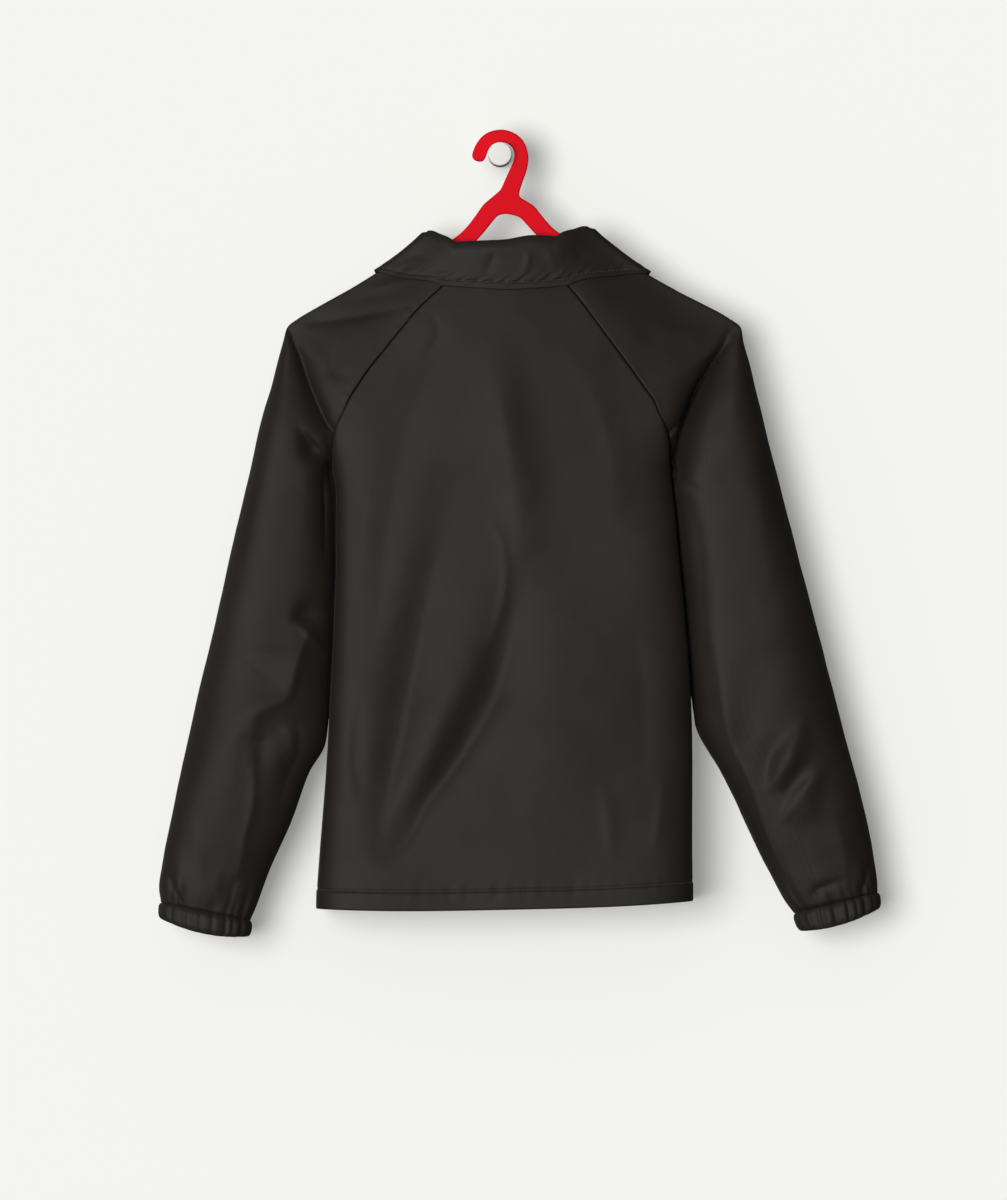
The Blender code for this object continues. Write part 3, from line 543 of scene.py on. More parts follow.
def normals_of(points, joined_from=None):
    """Unit normals of a grid of points. From the row joined_from on, its two side edges meet."""
    down = np.gradient(points, axis=0)
    across = np.gradient(points, axis=1)
    normal = np.cross(across, down)
    if joined_from is not None:
        both = normal[joined_from:, 0] + normal[joined_from:, -1]
        normal[joined_from:, 0] = both
        normal[joined_from:, -1] = both
    length = np.linalg.norm(normal, axis=-1, keepdims=True)
    return normal / np.maximum(length, 1e-9)


# Finer creases, as strokes along chains of points. left and right are the stroke's widths to
# either side of the way it runs, and rise is above 0 for a ridge and below 0 for a trough.
STROKE_COLUMNS = "x z left right rise"
BACK_CREASES = chains(STROKE_COLUMNS, """
    -4 -176 16 10 0, 6 -240 20 9 1.3, 15 -300 20 8 1.1, 22 -349 16 8 0;
    -10 -308 3 3 0, 1 -330 4 2.5 0.8, 4 -359 5 2.5 1, 0 -388 5 3 0.8, -15 -426 4 3 0;
    -47 -306 9 16 0, -73 -435 8 22 -2.3, -92 -530 7 20 -2.1, -108 -598 7 12 0;
    20 -358 7 12 0, -4 -456 7 16 -2, -40 -522 5 15 -2.3, -59 -546 5 14 -2.1, -82 -586 5 12 -1.5,
      -110 -604 5 8 0;
    -119 -460 7 6 0, -123 -510 8 5 -1.6, -116 -553 7 6 0;
    86 -530 6 8 0, 92 -566 9 5 0.9, 94 -604 6 4 0;
    138 -520 6 5 0, 135 -560 9 4 0.8, 128 -600 5 4 0;
    -60 -134 4 4 0, -52 -150 5 4 -0.6, -66 -176 4 4 0;
    -40 -150 10 14 0, -78 -230 14 24 -2, -98 -340 12 22 -2.2, -112 -440 10 16 0;
    58 -160 12 10 0, 92 -240 16 10 0.9, 104 -330 12 10 0;
    -120 -262 10 6 0, -112 -300 12 6 0.8, -114 -360 8 6 0;
    112 -390 10 14 0, 122 -470 12 16 -0.9, 118 -560 8 12 0
""")
FRONT_CREASES = chains(STROKE_COLUMNS, """
    -52 -170 12 8 0, -46 -300 16 8 1.2, -58 -430 12 8 0;
    -96 -280 7 14 0, -84 -430 7 16 -1.4, -70 -590 6 10 0;
    60 -150 12 8 0, 66 -310 16 8 1.2, 54 -460 12 8 0;
    112 -290 8 14 0, 98 -450 8 16 -1.4, 82 -600 7 10 0;
    -126 -420 7 5 0, -118 -500 8 5 -1.2, -122 -570 6 5 0;
    130 -360 5 7 0, 136 -450 5 8 1, 128 -540 5 6 0;
    -30 -560 4 3 0, -34 -590 4 3 0.7, -32 -615 3 3 0;
    44 -540 4 3 0, 48 -575 4 3 0.8, 45 -606 3 3 0
""")
SLEEVE_CREASES = {
    "left": chains(STROKE_COLUMNS, """
    -174 -144 5 4 0, -150 -142 6 4 -1.1, -110 -136 6 4 -0.9, -70 -128 4 4 0;
    -128 -118 6 5 0, -98 -112 7 5 0.9, -74 -107 5 4 0;
    -139 -156 8 6 0, -143 -184 10 6 -1.5, -125 -191 7 5 0;
    -173 -229 2 4 0, -163 -243 3 7 -2.4, -152 -254 3 8 -3.2, -143 -264 3 8 -2.6, -141 -290 3 6 0;
    -178 -396 3 2 0, -168 -394 7 3 -2.6, -154 -391 11 5 -3, -144 -388 12 5 -1.5;
    -172 -397 3 3 0.3, -160 -412 4 3 1.6, -150 -424 4 3 1, -144 -433 3 3 0;
    -220 -427 6 8 0, -206 -426 6 8 0.9, -180 -420 5 6 0;
    -168 -440 7 7 0, -177 -463 8 9 -1.4, -200 -470 6 8 0;
    -186 -484 3 3 0, -178 -491 5 6 1.1, -166 -494 5 5 0.8, -160 -500 3 3 0;
    -286 -604 2 3 0, -280 -618 3 2 -2.1, -272 -636 3 2 -2.4, -270 -646 2 2 -1;
    -196 -180 8 8 0, -204 -250 10 8 0.9, -214 -330 8 8 0;
    -262 -560 6 6 0, -256 -600 6 5 0.8, -250 -632 4 4 0;
    -178 -486 4 4 0, -176 -504 6 5 0.9, -168 -514 4 3 0;
    -188 -514 4 4 0, -176 -524 6 5 -1.4, -166 -528 4 4 0;
    -236 -604 3 4 0, -241 -622 4 3 0.9, -238 -640 3 3 0;
    -222 -612 3 3 0, -228 -628 3 4 -1, -226 -644 3 3 0;
    -272 -608 3 3 0, -272 -624 4 3 1.5, -266 -638 3 3 0
"""),
    "right": chains(STROKE_COLUMNS, """
    262 -478 7 7 0, 251 -496 9 5 2.2, 243 -518 9 5 2.4, 228 -544 6 5 0;
    274 -522 5 6 0, 261 -536 8 4 2.2, 246 -556 6 4 1.6, 240 -570 5 4 0;
    240 -490 5 6 0, 229 -512 5 9 -2.4, 224 -540 4 7 0;
    262 -634 3 4 0, 271 -624 3 4 -2, 282 -620 3 4 -1.2, 296 -616 4 4 0;
    308 -638 2 2 -1.2, 309 -626 3 2 -2.4, 313 -610 3 2 -1.4, 317 -596 3 3 0;
    176 -146 8 6 0, 158 -152 8 6 0.8, 118 -142 6 6 0;
    148 -270 5 8 0, 168 -330 7 14 -1.2, 172 -420 7 14 -1.1, 188 -500 6 10 0;
    214 -210 10 8 0, 222 -300 12 10 0.8, 236 -390 10 10 0;
    150 -272 4 4 0, 160 -282 5 5 -1.2, 176 -288 4 4 0;
    282 -560 6 6 0, 292 -590 6 6 0.8, 296 -618 4 4 0;
    256 -516 4 5 0, 249 -534 4 5 -2.2, 240 -548 4 5 0;
    284 -640 2 2 -1.2, 284 -628 3 2 -2, 279 -612 3 3 0
"""),
}
# Angular folds of the sleeves, whose profile is a tent and not a bell.
SLEEVE_FACETS = {
    "left": chains(STROKE_COLUMNS, """
    -178 -150 3 6 -1, -170 -172 4 10 -1.6, -160 -200 4 11 -1.8, -149 -224 4 10 -1.8,
      -143 -244 3 6 0;
    -158 -398 5 8 0, -165 -412 9 14 2.6, -172 -432 11 20 4.8, -180 -462 11 26 5.6,
      -206 -475 12 26 5.8, -210 -490 13 26 6.8, -209 -543 13 26 6.6, -218 -586 11 18 4.2,
      -222 -618 6 8 0;
    -172 -478 3 5 0, -170 -504 5 6 -1.6, -180 -530 6 7 -1.6, -190 -560 4 5 0;
    -147 -262 3 4 0, -147 -276 4 5 -4, -146 -300 4 5 -5, -147 -325 4 4 -3, -149 -345 3 3 0
"""),
    "right": chains(STROKE_COLUMNS, """
    196 -150 7 3 -1, 180 -177 10 2 -2, 164 -204 12 2 -2.5, 155 -226 12 2.5 -3, 148 -250 12 3 -2,
      149 -280 8 3 0;
    178 -400 8 6 0, 188 -450 18 9 2.4, 194 -490 20 10 3.6, 212 -532 18 9 3.2, 231 -588 14 8 2.2,
      246 -624 8 5 0;
    194 -156 4 1.5 -1, 180 -177 7 1.5 -11, 164 -204 8 1.5 -18, 156 -226 9 1.5 -21,
      151 -244 9 2 -21, 148 -262 8 2.5 -16, 148 -282 5 3 0
"""),
}
COLLAR_CREASES = chains(STROKE_COLUMNS, """
    -5 -80 3 4 0, -7 -91 4 5 -0.9, -14 -104 3 4 0;
    20 -80 3 3 0, 24 -89 4 3 0.8, 18 -104 3 3 0;
    -54 -74 6 6 0, -42 -76 8 6 0.8, -28 -82 6 6 0;
    -84 -92 4 4 0, -72 -86 5 4 -0.7, -56 -90 4 4 0;
    62 -78 5 4 0, 70 -88 5 4 -0.7, 92 -94 4 4 0;
    34 -76 5 5 0, 44 -88 6 5 0.6, 48 -104 4 4 0
""")

OTHER = {"left": "right", "right": "left"}

# Each grid's columns, and how much they are packed towards its seams. Then the distance
# between its rows in mm, above and below the underarm, and the last rows at the hem.
GRIDS = {"back": (150, 0.45), "front": (96, 0.5), "sleeve": (139, 0.3)}
CASING_COLUMNS = 241
ROW_PITCHES = {"body": (2.1, 2.3), "sleeve": (2.0, 2.1)}
HEM_EDGE_ROWS = (0.09, 0.055, 0.025, 0)

# The finish of the cloth's shells: their thickness, the dip along a seam and the pucker
# beside it, the swells and low ridges all over, and the powers of creases and facets.
SHELL = 1.2
HEM_SHELL = 2.0
CASING_SHELL = 2.4
SEAM_DIP = 0.4
SEAM_DIP_WIDTH = 0.9
PUCKER = 0.3
PUCKER_START = 2.0
PUCKER_REACH = 7.0
SWELL = 0.2
RIDGE = 0.3
CREASE_POWER = 1.6
TENT = 1.1

# A sleeve's edges shift by TOUCH towards the body between these rows, so that no wall shows
# between them. They are the turns from NEAR_SEAM to 1. Its creases fade within SEAM_QUIET of a
# raglan seam, and its back's creases give way to its front's over FACES_BLEND.
TOUCH = 1.9
TOUCH_START = 6.6
TOUCH_END = 17.0
NEAR_SEAM = 0.93
NEAR_SEAM_BLEND = 0.06
SEAM_QUIET = 3.0
FACES_BLEND = 0.12

# Each line of stitches by its distance from the edge, and its groove's depth and width.
HEM_TURN = 16.5
HEM_RAISE = 0.5
COLLAR_STITCH = 6.0
PLACKET_STITCH = 22.0
STITCH_GROOVES = {"hem": (0.8, 1.2), "placket": (0.6, 1.2), "collar": (0.45, 1.1)}

# Gathers of each casing's back: the place round from the seam side to the outer edge, how
# wide each groove is, and how deep. The other side has the same ones in turn.
CASING_GROOVES = {
    "left": table("place width depth", """
    0.1 0.03 1.2
    0.2 0.02 0.8
    0.27 0.02 0.9
    0.42 0.025 1.1
    0.55 0.02 0.9
    0.72 0.025 1.3
    0.88 0.03 1.4
"""),
    "right": table("place width depth", """
    0.12 0.025 0.9
    0.28 0.02 0.9
    0.36 0.015 0.7
    0.46 0.035 2.1
    0.54 0.015 0.8
    0.62 0.022 1.2
    0.72 0.015 0.8
    0.82 0.035 2.1
    0.91 0.02 0.9
"""),
}

BODY_CENTRE = (MIDDLE_X, -HANGER_DEPTH, -350)

CAP_SIDES = 40
PEG_SIDES = 72
# The snap cap, outwards from the front, and the peg as turned profiles. A radius of 0.02
# stands for the middle.
CAP = table("radius height", """
    0.02 0
    7.3 0
    7.6 0.25
    7.6 0.9
    7.4 1.25
    6.9 1.45
    6.3 1.42
    6 1.3
    5.7 1.4
    5.2 1.75
    4.2 2.2
    3 2.5
    1.5 2.7
    0.02 2.75
""")
PEG = table("radius y", """
    0.02 0
    9.7 0
    10 -0.3
    10 -64.6
    9.9 -65.1
    9.6 -65.6
    9.1 -65.9
    8.5 -66
    0.02 -66
""")

# The studio: the photograph's centre and height on the cloth's plane and the camera's
# distance, in mm, and the floor's height, the wall's place and their size, in metres.
VIEW_X = 3.0
VIEW_Z = -379.0
VIEW_DEPTH = -55.0
VIEW_HEIGHT = 1020.0
CAMERA_AWAY = 16000.0
SENSOR = 36.0
FLOOR_Z = -1.25
WALL_Y = 0.0008
STUDIO_SIZE = 6.0
# The sun shines along KEY_WAY, over KEY_SPREAD degrees. The sky goes from SKY_DARK to SKY_LIGHT
# towards SKY_SIDE. WALL_GLOW is the share of the wall's light that is its own.
KEY_WAY = (0.3, 0.94, -0.03)
KEY_SPREAD = 30
SKY_SIDE = (-0.8, -0.35, 0.5)
SKY_DARK = 0.25
SKY_LIGHT = 1.9
SKY_FADE = -0.3
SKY_COLOUR = (0.95, 0.97, 1, 1)
WALL_GLOW = 0.3


def crease_height(strokes, x, z, power=CREASE_POWER):
    """How far the strokes lift the cloth at each point.

    Each stroke is a smooth line. The lift is its rise at the nearest place of the line, times
    a bell curve of the distance over the width of that side, which nears a tent as the power
    nears 1. The strokes add up.
    """
    height = np.zeros(x.shape)
    for chain in np.unique(strokes["chain"]):
        rows = strokes["chain"] == chain
        known = {name: strokes[name][rows] for name in ("x", "z", "left", "right", "rise")}
        run = cumulative(np.hypot(np.diff(known["x"]), np.diff(known["z"])))
        at = np.linspace(0, run[-1], 7 * (len(run) - 1) + 1)
        line = {name: along(run, known[name], at) for name in known}
        reach = 3 * max(line["left"].max(), line["right"].max())
        near = (
            (x > line["x"].min() - reach)
            & (x < line["x"].max() + reach)
            & (z > line["z"].min() - reach)
            & (z < line["z"].max() + reach)
        )
        near_x, near_z = x[near], z[near]
        closest = np.full(near_x.shape, np.inf)
        lift = np.zeros(near_x.shape)
        for low in range(len(at) - 1):
            step_x = line["x"][low + 1] - line["x"][low]
            step_z = line["z"][low + 1] - line["z"][low]
            from_x, from_z = near_x - line["x"][low], near_z - line["z"][low]
            t = np.clip((from_x * step_x + from_z * step_z) / (step_x**2 + step_z**2), 0, 1)
            away = np.hypot(from_x - t * step_x, from_z - t * step_z)
            on_left = step_x * from_z - step_z * from_x > 0
            left = line["left"][low] * (1 - t) + line["left"][low + 1] * t
            right = line["right"][low] * (1 - t) + line["right"][low + 1] * t
            rise = line["rise"][low] * (1 - t) + line["rise"][low + 1] * t
            here = rise * np.exp(-((away / np.where(on_left, left, right)) ** power))
            closer = away < closest
            lift = np.where(closer, here, lift)
            closest = np.minimum(away, closest)
        height[near] += lift
    return height


def uneven(run, pitch, phase):
    """A wave from -1 to 1 with a rough pitch in mm: three sines whose lengths never match."""
    turn = 2 * np.pi * run / pitch
    slow = 0.7 * np.sin(turn * 0.61 + 2.3 * phase)
    fast = 0.5 * np.sin(turn * 1.73 + 4.1 * phase)
    return (np.sin(turn + phase) + slow + fast) / 2.2


def run_along(points, axis):
    """Distance in mm from the grid's first row or column, along its lines."""
    step = np.linalg.norm(np.diff(points, axis=axis), axis=-1)
    start = np.zeros_like(np.take(step, [0], axis=axis))
    return np.concatenate([start, np.cumsum(step, axis=axis)], axis=axis)


def seam_height(points, phase):
    """The dip at a grid's two side seams, and the pucker beside them.

    The dip is a narrow bell curve of the distance to the seam. The pucker is an uneven wave
    along the seam that dies out as a wider bell curve.
    """
    run = run_along(points, 1)
    down = run_along(points, 0)
    height = np.zeros(run.shape)
    for number, away in enumerate((run, run[:, -1:] - run)):
        edge_down = down[:, :1] if number == 0 else down[:, -1:]
        dip = -SEAM_DIP * bell(away, SEAM_DIP_WIDTH)
        wave = uneven(edge_down, 9, phase + number) * (0.5 + 0.5 * uneven(edge_down, 47, phase))
        pucker = PUCKER * wave * bell(away, PUCKER_REACH) * (1 - bell(away, PUCKER_START))
        height += dip + pucker
    return height


def soft_noise(points, size, phase):
    """Slow uneven swells of the cloth, as products of sines of a slanted and bent grid."""
    x, z = points[..., 0], points[..., 2]
    bend_x = x + 0.3 * size * np.sin(z / size * 1.3 + phase)
    bend_z = z + 0.3 * size * np.sin(x / size * 1.1 - phase)
    first = np.sin(bend_x / size + 0.4 * bend_z / size + phase)
    first *= np.sin(bend_z / size * 0.8 - phase)
    second = np.sin(bend_x / size * 1.9 - 0.7 * bend_z / size)
    second *= np.sin(bend_z / size * 1.7 + 2 * phase)
    return first + 0.5 * second


def small_creases(points, size, phase):
    """Slow swells, with sharp low ridges where two other slow waves cross 0."""
    ridges = -np.abs(soft_noise(points, size * 1.5, phase + 1.9))
    ridges -= 0.5 * np.abs(soft_noise(points, size * 0.7, phase + 4.2))
    return SWELL * soft_noise(points, size, phase) + RIDGE * ridges


def facing_out(points, normal, centre):
    """The normals, turned so that most of them face away from the centre."""
    return normal if np.sum(normal * (points - np.asarray(centre))) > 0 else -normal


def put(name, data):
    """A new object of the data, linked to the scene."""
    obj = bpy.data.objects.new(name, data)
    bpy.context.scene.collection.objects.link(obj)
    return obj


def make_mesh(name, verts, faces, uv=None):
    """A smooth mesh object from arrays of points in mm and of quads, with its own UV map."""
    mesh = bpy.data.meshes.new(name)
    corners = faces.shape[1]
    mesh.vertices.add(len(verts))
    mesh.vertices.foreach_set("co", (verts * MM).astype(np.float32).ravel())
    mesh.loops.add(faces.size)
    mesh.loops.foreach_set("vertex_index", faces.astype(np.int32).ravel())
    mesh.polygons.add(len(faces))
    mesh.polygons.foreach_set("loop_start", np.arange(len(faces), dtype=np.int32) * corners)
    mesh.polygons.foreach_set("loop_total", np.full(len(faces), corners, np.int32))
    mesh.polygons.foreach_set("use_smooth", np.ones(len(faces), bool))
    if uv is not None:
        layer = mesh.uv_layers.new(name="cloth")
        layer.data.foreach_set("uv", (uv[faces.ravel()] * MM).astype(np.float32).ravel())
    mesh.update(calc_edges=True)
    mesh.validate()
    return put(name, mesh)


def grid_quads(index):
    corners = (index[:-1, :-1], index[:-1, 1:], index[1:, 1:], index[1:, :-1])
    return np.stack([corner.ravel() for corner in corners], axis=1)


def strip_quads(first, second):
    return np.stack([first[:-1], second[:-1], second[1:], first[1:]], axis=1)


def shell(name, outer, thickness, centre, joined_from=None, middle=False):
    """A closed shell: the outer grid, the same grid moved in along its normals, and its rims.

    From the row joined_from on, the grid's two side edges are one. With middle the grid is
    the middle of the shell, which then faces as the grid does.
    """
    rows, columns = outer.shape[:2]
    normal = normals_of(outer, joined_from)
    if centre is not None:
        normal = facing_out(outer, normal, centre)
    thickness = np.broadcast_to(np.asarray(thickness, float).reshape(-1, 1, 1), (rows, 1, 1))
    if middle:
        outer = outer + normal * thickness / 2
    inner = outer - normal * thickness
    index = np.arange(rows * columns).reshape(rows, columns)
    if joined_from is not None:
        index[joined_from:, -1] = index[joined_from:, 0]
    back = index + rows * columns
    verts = np.concatenate([outer.reshape(-1, 3), inner.reshape(-1, 3)])
    along_rows = run_along(outer, 1)
    across = along_rows - along_rows.mean(axis=1, keepdims=True)
    uv = np.stack([across, -run_along(outer, 0)], axis=-1)
    uv = np.concatenate([uv.reshape(-1, 2)] * 2)
    faces = [grid_quads(index), grid_quads(back)[:, ::-1]]
    rims = [(index[0], back[0]), (back[-1], index[-1])]
    open_rows = rows if joined_from is None else joined_from + 1
    if open_rows > 1:
        outside, inside = index[:open_rows], back[:open_rows]
        rims += [(inside[:, 0], outside[:, 0]), (outside[:, -1], inside[:, -1])]
    faces += [strip_quads(first, second) for first, second in rims]
    faces = np.concatenate(faces)
    # the grid may run either way round, so the faces are turned to agree with the normals
    corner = verts[faces[: (rows - 1) * (columns - 1)]]
    facing = np.cross(corner[:, 1] - corner[:, 0], corner[:, 3] - corner[:, 0])
    if np.sum(facing * normal[:-1, :-1].reshape(-1, 3)) < 0:
        faces = faces[:, ::-1]
    used, packed = np.unique(faces, return_inverse=True)
    return make_mesh(name, verts[used], packed.reshape(faces.shape), uv[used])


def stitch_line(name, path, normal, length, radius, finish):
    """A row of stitches along a path: each a short thread that dips into the cloth at its ends.

    A stitch is a tube of six sides whose centre rises by a half sine over its length and
    whose radius shrinks at both ends.
    """
    run = run_along(path, 0)
    count = max(int(run[-1] / (length * 1.3)), 2)
    start = (np.arange(count) + 0.15) * run[-1] / count
    place = np.linspace(0, 1, 6)
    at = start[:, None] + place[None, :] * length
    centre = np.stack([np.interp(at, run, path[:, axis]) for axis in range(3)], axis=-1)
    up = np.stack([np.interp(at, run, normal[:, axis]) for axis in range(3)], axis=-1)
    up = unit(up)
    way = unit(centre[:, -1:] - centre[:, :1])
    side = unit(np.cross(np.broadcast_to(way, up.shape), up))
    lift = radius * (1.3 * np.sin(np.pi * place) - 0.5)
    thick = radius * (0.35 + 0.65 * np.sin(np.pi * place) ** 0.5)
    angle = np.linspace(0, 2 * np.pi, 7)[:-1]
    ring = (
        (centre + up * lift[None, :, None])[:, :, None, :]
        + side[:, :, None, :] * (np.cos(angle)[None, None, :] * thick[None, :, None])[..., None]
        + up[:, :, None, :] * (np.sin(angle)[None, None, :] * thick[None, :, None])[..., None]
    )
    index = np.arange(ring.size // 3).reshape(ring.shape[:3])
    nxt = np.roll(index, -1, axis=2)
    sides = np.stack([index[:, :-1], nxt[:, :-1], nxt[:, 1:], index[:, 1:]], axis=-1).reshape(-1, 4)
    first, last = index[:, 0], index[:, -1]
    ends = [first[:, [0, 5, 4, 3]], first[:, [0, 3, 2, 1]]]
    ends += [last[:, [0, 1, 2, 3]], last[:, [0, 3, 4, 5]]]
    obj = make_mesh(name, ring.reshape(-1, 3), np.concatenate([sides] + ends))
    obj.data.materials.append(finish)
    return obj


def line_on(points, normal, distance, from_end=True):
    """The path on a grid at a distance in mm from its last (or first) row, with its normals."""
    run = run_along(points, 0)
    away = run[-1:] - run if from_end else run
    order = away[::-1] if from_end else away
    path, up = [], []
    for source, out in ((points, path), (normal, up)):
        grid = source[::-1] if from_end else source
        low = np.clip((order < distance).sum(axis=0) - 1, 0, len(order) - 2)
        column = np.arange(order.shape[1])
        t = (distance - order[low, column]) / (order[low + 1, column] - order[low, column])
        out.append(grid[low, column] * (1 - t[:, None]) + grid[low + 1, column] * t[:, None])
    return path[0], up[0]


def closer_at_ends(count, packed):
    """Places from -1 to 1: an even share, and a sine's share that packs them towards the ends."""
    t = np.linspace(-1, 1, count)
    return (1 - packed) * t + packed * np.sin(t * np.pi / 2)


def even_rows(skin, low, high, pitch):
    """Rows from low to high that lie about pitch mm apart on the skin."""
    fine = np.linspace(low, high, 401)
    run = run_along(skin(fine), 0)
    count = int(run[-1] / pitch) + 2
    return np.interp(np.linspace(0, run[-1], count), run, fine)


def stitch_groove(away, kind):
    """The dip along a line of stitches, at a distance from it."""
    depth, width = STITCH_GROOVES[kind]
    return -depth * bell(away, width)


def hem_height(points):
    """The turned hem: a small step up below the stitch line, a groove along it, and puckers."""
    down = run_along(points, 0)
    away = down[-1:] - down
    across = run_along(points, 1) - 140
    step = HEM_RAISE * ease((HEM_TURN - away) / 2 + 0.5)
    strong = 0.35 + 0.65 * bell(points[..., 0], 75)
    pucker = 0.55 * strong * uneven(across, 13, 1.7) * bell(away - HEM_TURN, PUCKER_REACH)
    edge = -0.5 * bell(away, 0.9)
    return step + stitch_groove(away - HEM_TURN, "hem") + pucker + edge


def body_rows():
    def skin(rows):
        return body_skin(rows, np.full(rows.shape, -1.0), -1)

    upper, lower = ROW_PITCHES["body"]
    above = even_rows(skin, 0, UNDERARM_ROW, upper)
    below = even_rows(skin, UNDERARM_ROW, HEM_ROW - 1, lower)[1:]
    hem = np.linspace(HEM_ROW - 1, HEM_ROW, 25)[1:-3]
    return np.concatenate([above, below, hem, HEM_ROW - np.array(HEM_EDGE_ROWS)])


def hem_shell(rows):
    """The cloth's thickness at each row: more where the hem is turned up."""
    return np.where(rows > HEM_ROW - 0.75, HEM_SHELL, SHELL)


def body_normals(points):
    """A body panel's normals, out of the body."""
    return facing_out(points, normals_of(points), BODY_CENTRE)


def build_back(strength):
    """The back panel's points and normals: the skin, with creases, seams and hem raised on it."""
    rows = body_rows()
    points = body_skin(rows[:, None], closer_at_ends(*GRIDS["back"])[None, :], -1)
    x, z = points[..., 0], points[..., 2]
    height = strength * (crease_height(BACK_CREASES, x, z) + small_creases(points, 26, 0.6))
    height += seam_height(points, 0.4) + hem_height(points)
    points = points + body_normals(points) * height[..., None]
    return points, body_normals(points), rows


def build_front(side, strength):
    """One front's points and normals, with its placket's stitch groove near the lapped edge."""
    rows = body_rows()
    toward_middle = (closer_at_ends(*GRIDS["front"])[None, :] + 1) / 2
    points = front_skin(rows[:, None], toward_middle, side)
    x, z = points[..., 0], points[..., 2]
    height = strength * (crease_height(FRONT_CREASES, x, z) + small_creases(points, 28, 2.1))
    run = run_along(points, 1)
    height += hem_height(points)
    height -= SEAM_DIP * bell(run, SEAM_DIP_WIDTH)
    to_edge = run[:, -1:] - run
    height += 0.3 * ease((PLACKET_STITCH - to_edge) / 2 + 0.5) * ease(to_edge / 1.5)
    height += stitch_groove(to_edge - PLACKET_STITCH, "placket")
    near_lap = ease((np.abs(x - MIDDLE_X) - LAP) / LAP_BLEND)
    quiet = 0.6 if side == "left" else 0.3
    height = height * (quiet + (1 - quiet) * near_lap)
    points = points + body_normals(points) * height[..., None]
    return points, body_normals(points), rows


def share_across(turn):
    """Where a sleeve's column lies across its width below the underarm, 0 at the inner edge."""
    angle = np.pi * (1 - np.abs(turn))
    return (1 - np.sign(np.cos(angle)) * np.abs(np.cos(angle)) ** (2 / SLEEVE_POWER)) / 2


def casing_wave(side, turn):
    """Depth of the elastic's gathers round a casing: placed grooves and an uneven small wave."""
    share = share_across(turn)
    height = np.zeros(np.shape(turn))
    for face, name in ((-1, side), (1, OTHER[side])):
        grooves = CASING_GROOVES[name]
        here = np.zeros(np.shape(turn))
        for place, width, depth in zip(grooves["place"], grooves["width"], grooves["depth"]):
            here -= depth * bell(share - place, width)
        height += np.where(np.sign(turn) == face, here, 0)
    away = np.clip(np.minimum(np.abs(turn), 1 - np.abs(turn)) / 0.04, 0, 1)
    return height * ease(away) + 0.3 * uneven(turn * 90, 7.3, 0.9 if side == "left" else 2.2)


def build_sleeve(side, strength):
    """One sleeve's points, the row from which its edges are one, and its centre. Its front takes
    the other sleeve's creases, mirrored.
    """

    def skin(rows):
        return sleeve_skin(side, rows, np.zeros(rows.shape))

    upper, lower = ROW_PITCHES["sleeve"]
    above = even_rows(skin, 0, UNDERARM_ROW, upper)
    below = even_rows(skin, UNDERARM_ROW, CUFF_ROW, lower)[1:]
    rows = np.concatenate([above, below])
    turn = closer_at_ends(*GRIDS["sleeve"])[None, :]
    points = sleeve_skin(side, rows[:, None], turn)
    joined_from = len(above) - 1
    centre = points.mean(axis=(0, 1))
    normal = facing_out(points, normals_of(points, joined_from), centre)
    x, z = points[..., 0], points[..., 2]
    near_seam = ease((np.abs(turn) - NEAR_SEAM) / NEAR_SEAM_BLEND)
    beside_body = (rows[:, None] > UNDERARM_ROW) * near_seam
    mirrored = 2 * MIDDLE_X - x
    to_front = ease((turn + FACES_BLEND / 2) / FACES_BLEND)

    def both_faces(tables, power):
        seen = crease_height(tables[side], x, z, power)
        hidden = crease_height(tables[OTHER[side]], mirrored, z, power)
        return strength * (seen * (1 - to_front) + hidden * to_front)

    facets = both_faces(SLEEVE_FACETS, TENT)
    upper = ease((UNDERARM_ROW + 1 - rows[:, None]) / 1.5)
    height = both_faces(SLEEVE_CREASES, CREASE_POWER) + facets * (1 - upper)
    height += strength * small_creases(points, 22, 1.2 if side == "left" else 3.4)
    run = run_along(points, 1)
    to_seam = np.minimum(run, run[:, -1:] - run)
    raglan = rows[:, None] < UNDERARM_ROW
    quiet = (1 - beside_body) * (1 - raglan * bell(to_seam, SEAM_QUIET))
    height *= quiet
    height += seam_height(points, 1.1 if side == "left" else 2.7) * np.where(raglan, 1, 0.6)
    down = run_along(points, 0)
    away = down[-1:] - down
    height += 0.9 * casing_wave(side, turn) * bell(away, 15)
    height += 1.1 * uneven(turn * 100, 17, 0.5) * bell(away, 26) * (1 - bell(away, 8))
    half = (height[joined_from:, :1] + height[joined_from:, -1:]) / 2
    height[joined_from:, :1] = half
    height[joined_from:, -1:] = half
    points = points + normal * height[..., None]
    points[..., 1] += facets * upper * quiet * np.sign(turn)
    toward_body = TOUCH if side == "left" else -TOUCH
    touching = 0.7 * ease((rows - TOUCH_START) / 2) + 0.3 * ease((rows - UNDERARM_ROW + 2.4) / 0.8)
    touching *= ease(TOUCH_END - rows)
    points[..., 0] += toward_body * touching[:, None] * near_seam
    return points, joined_from, centre


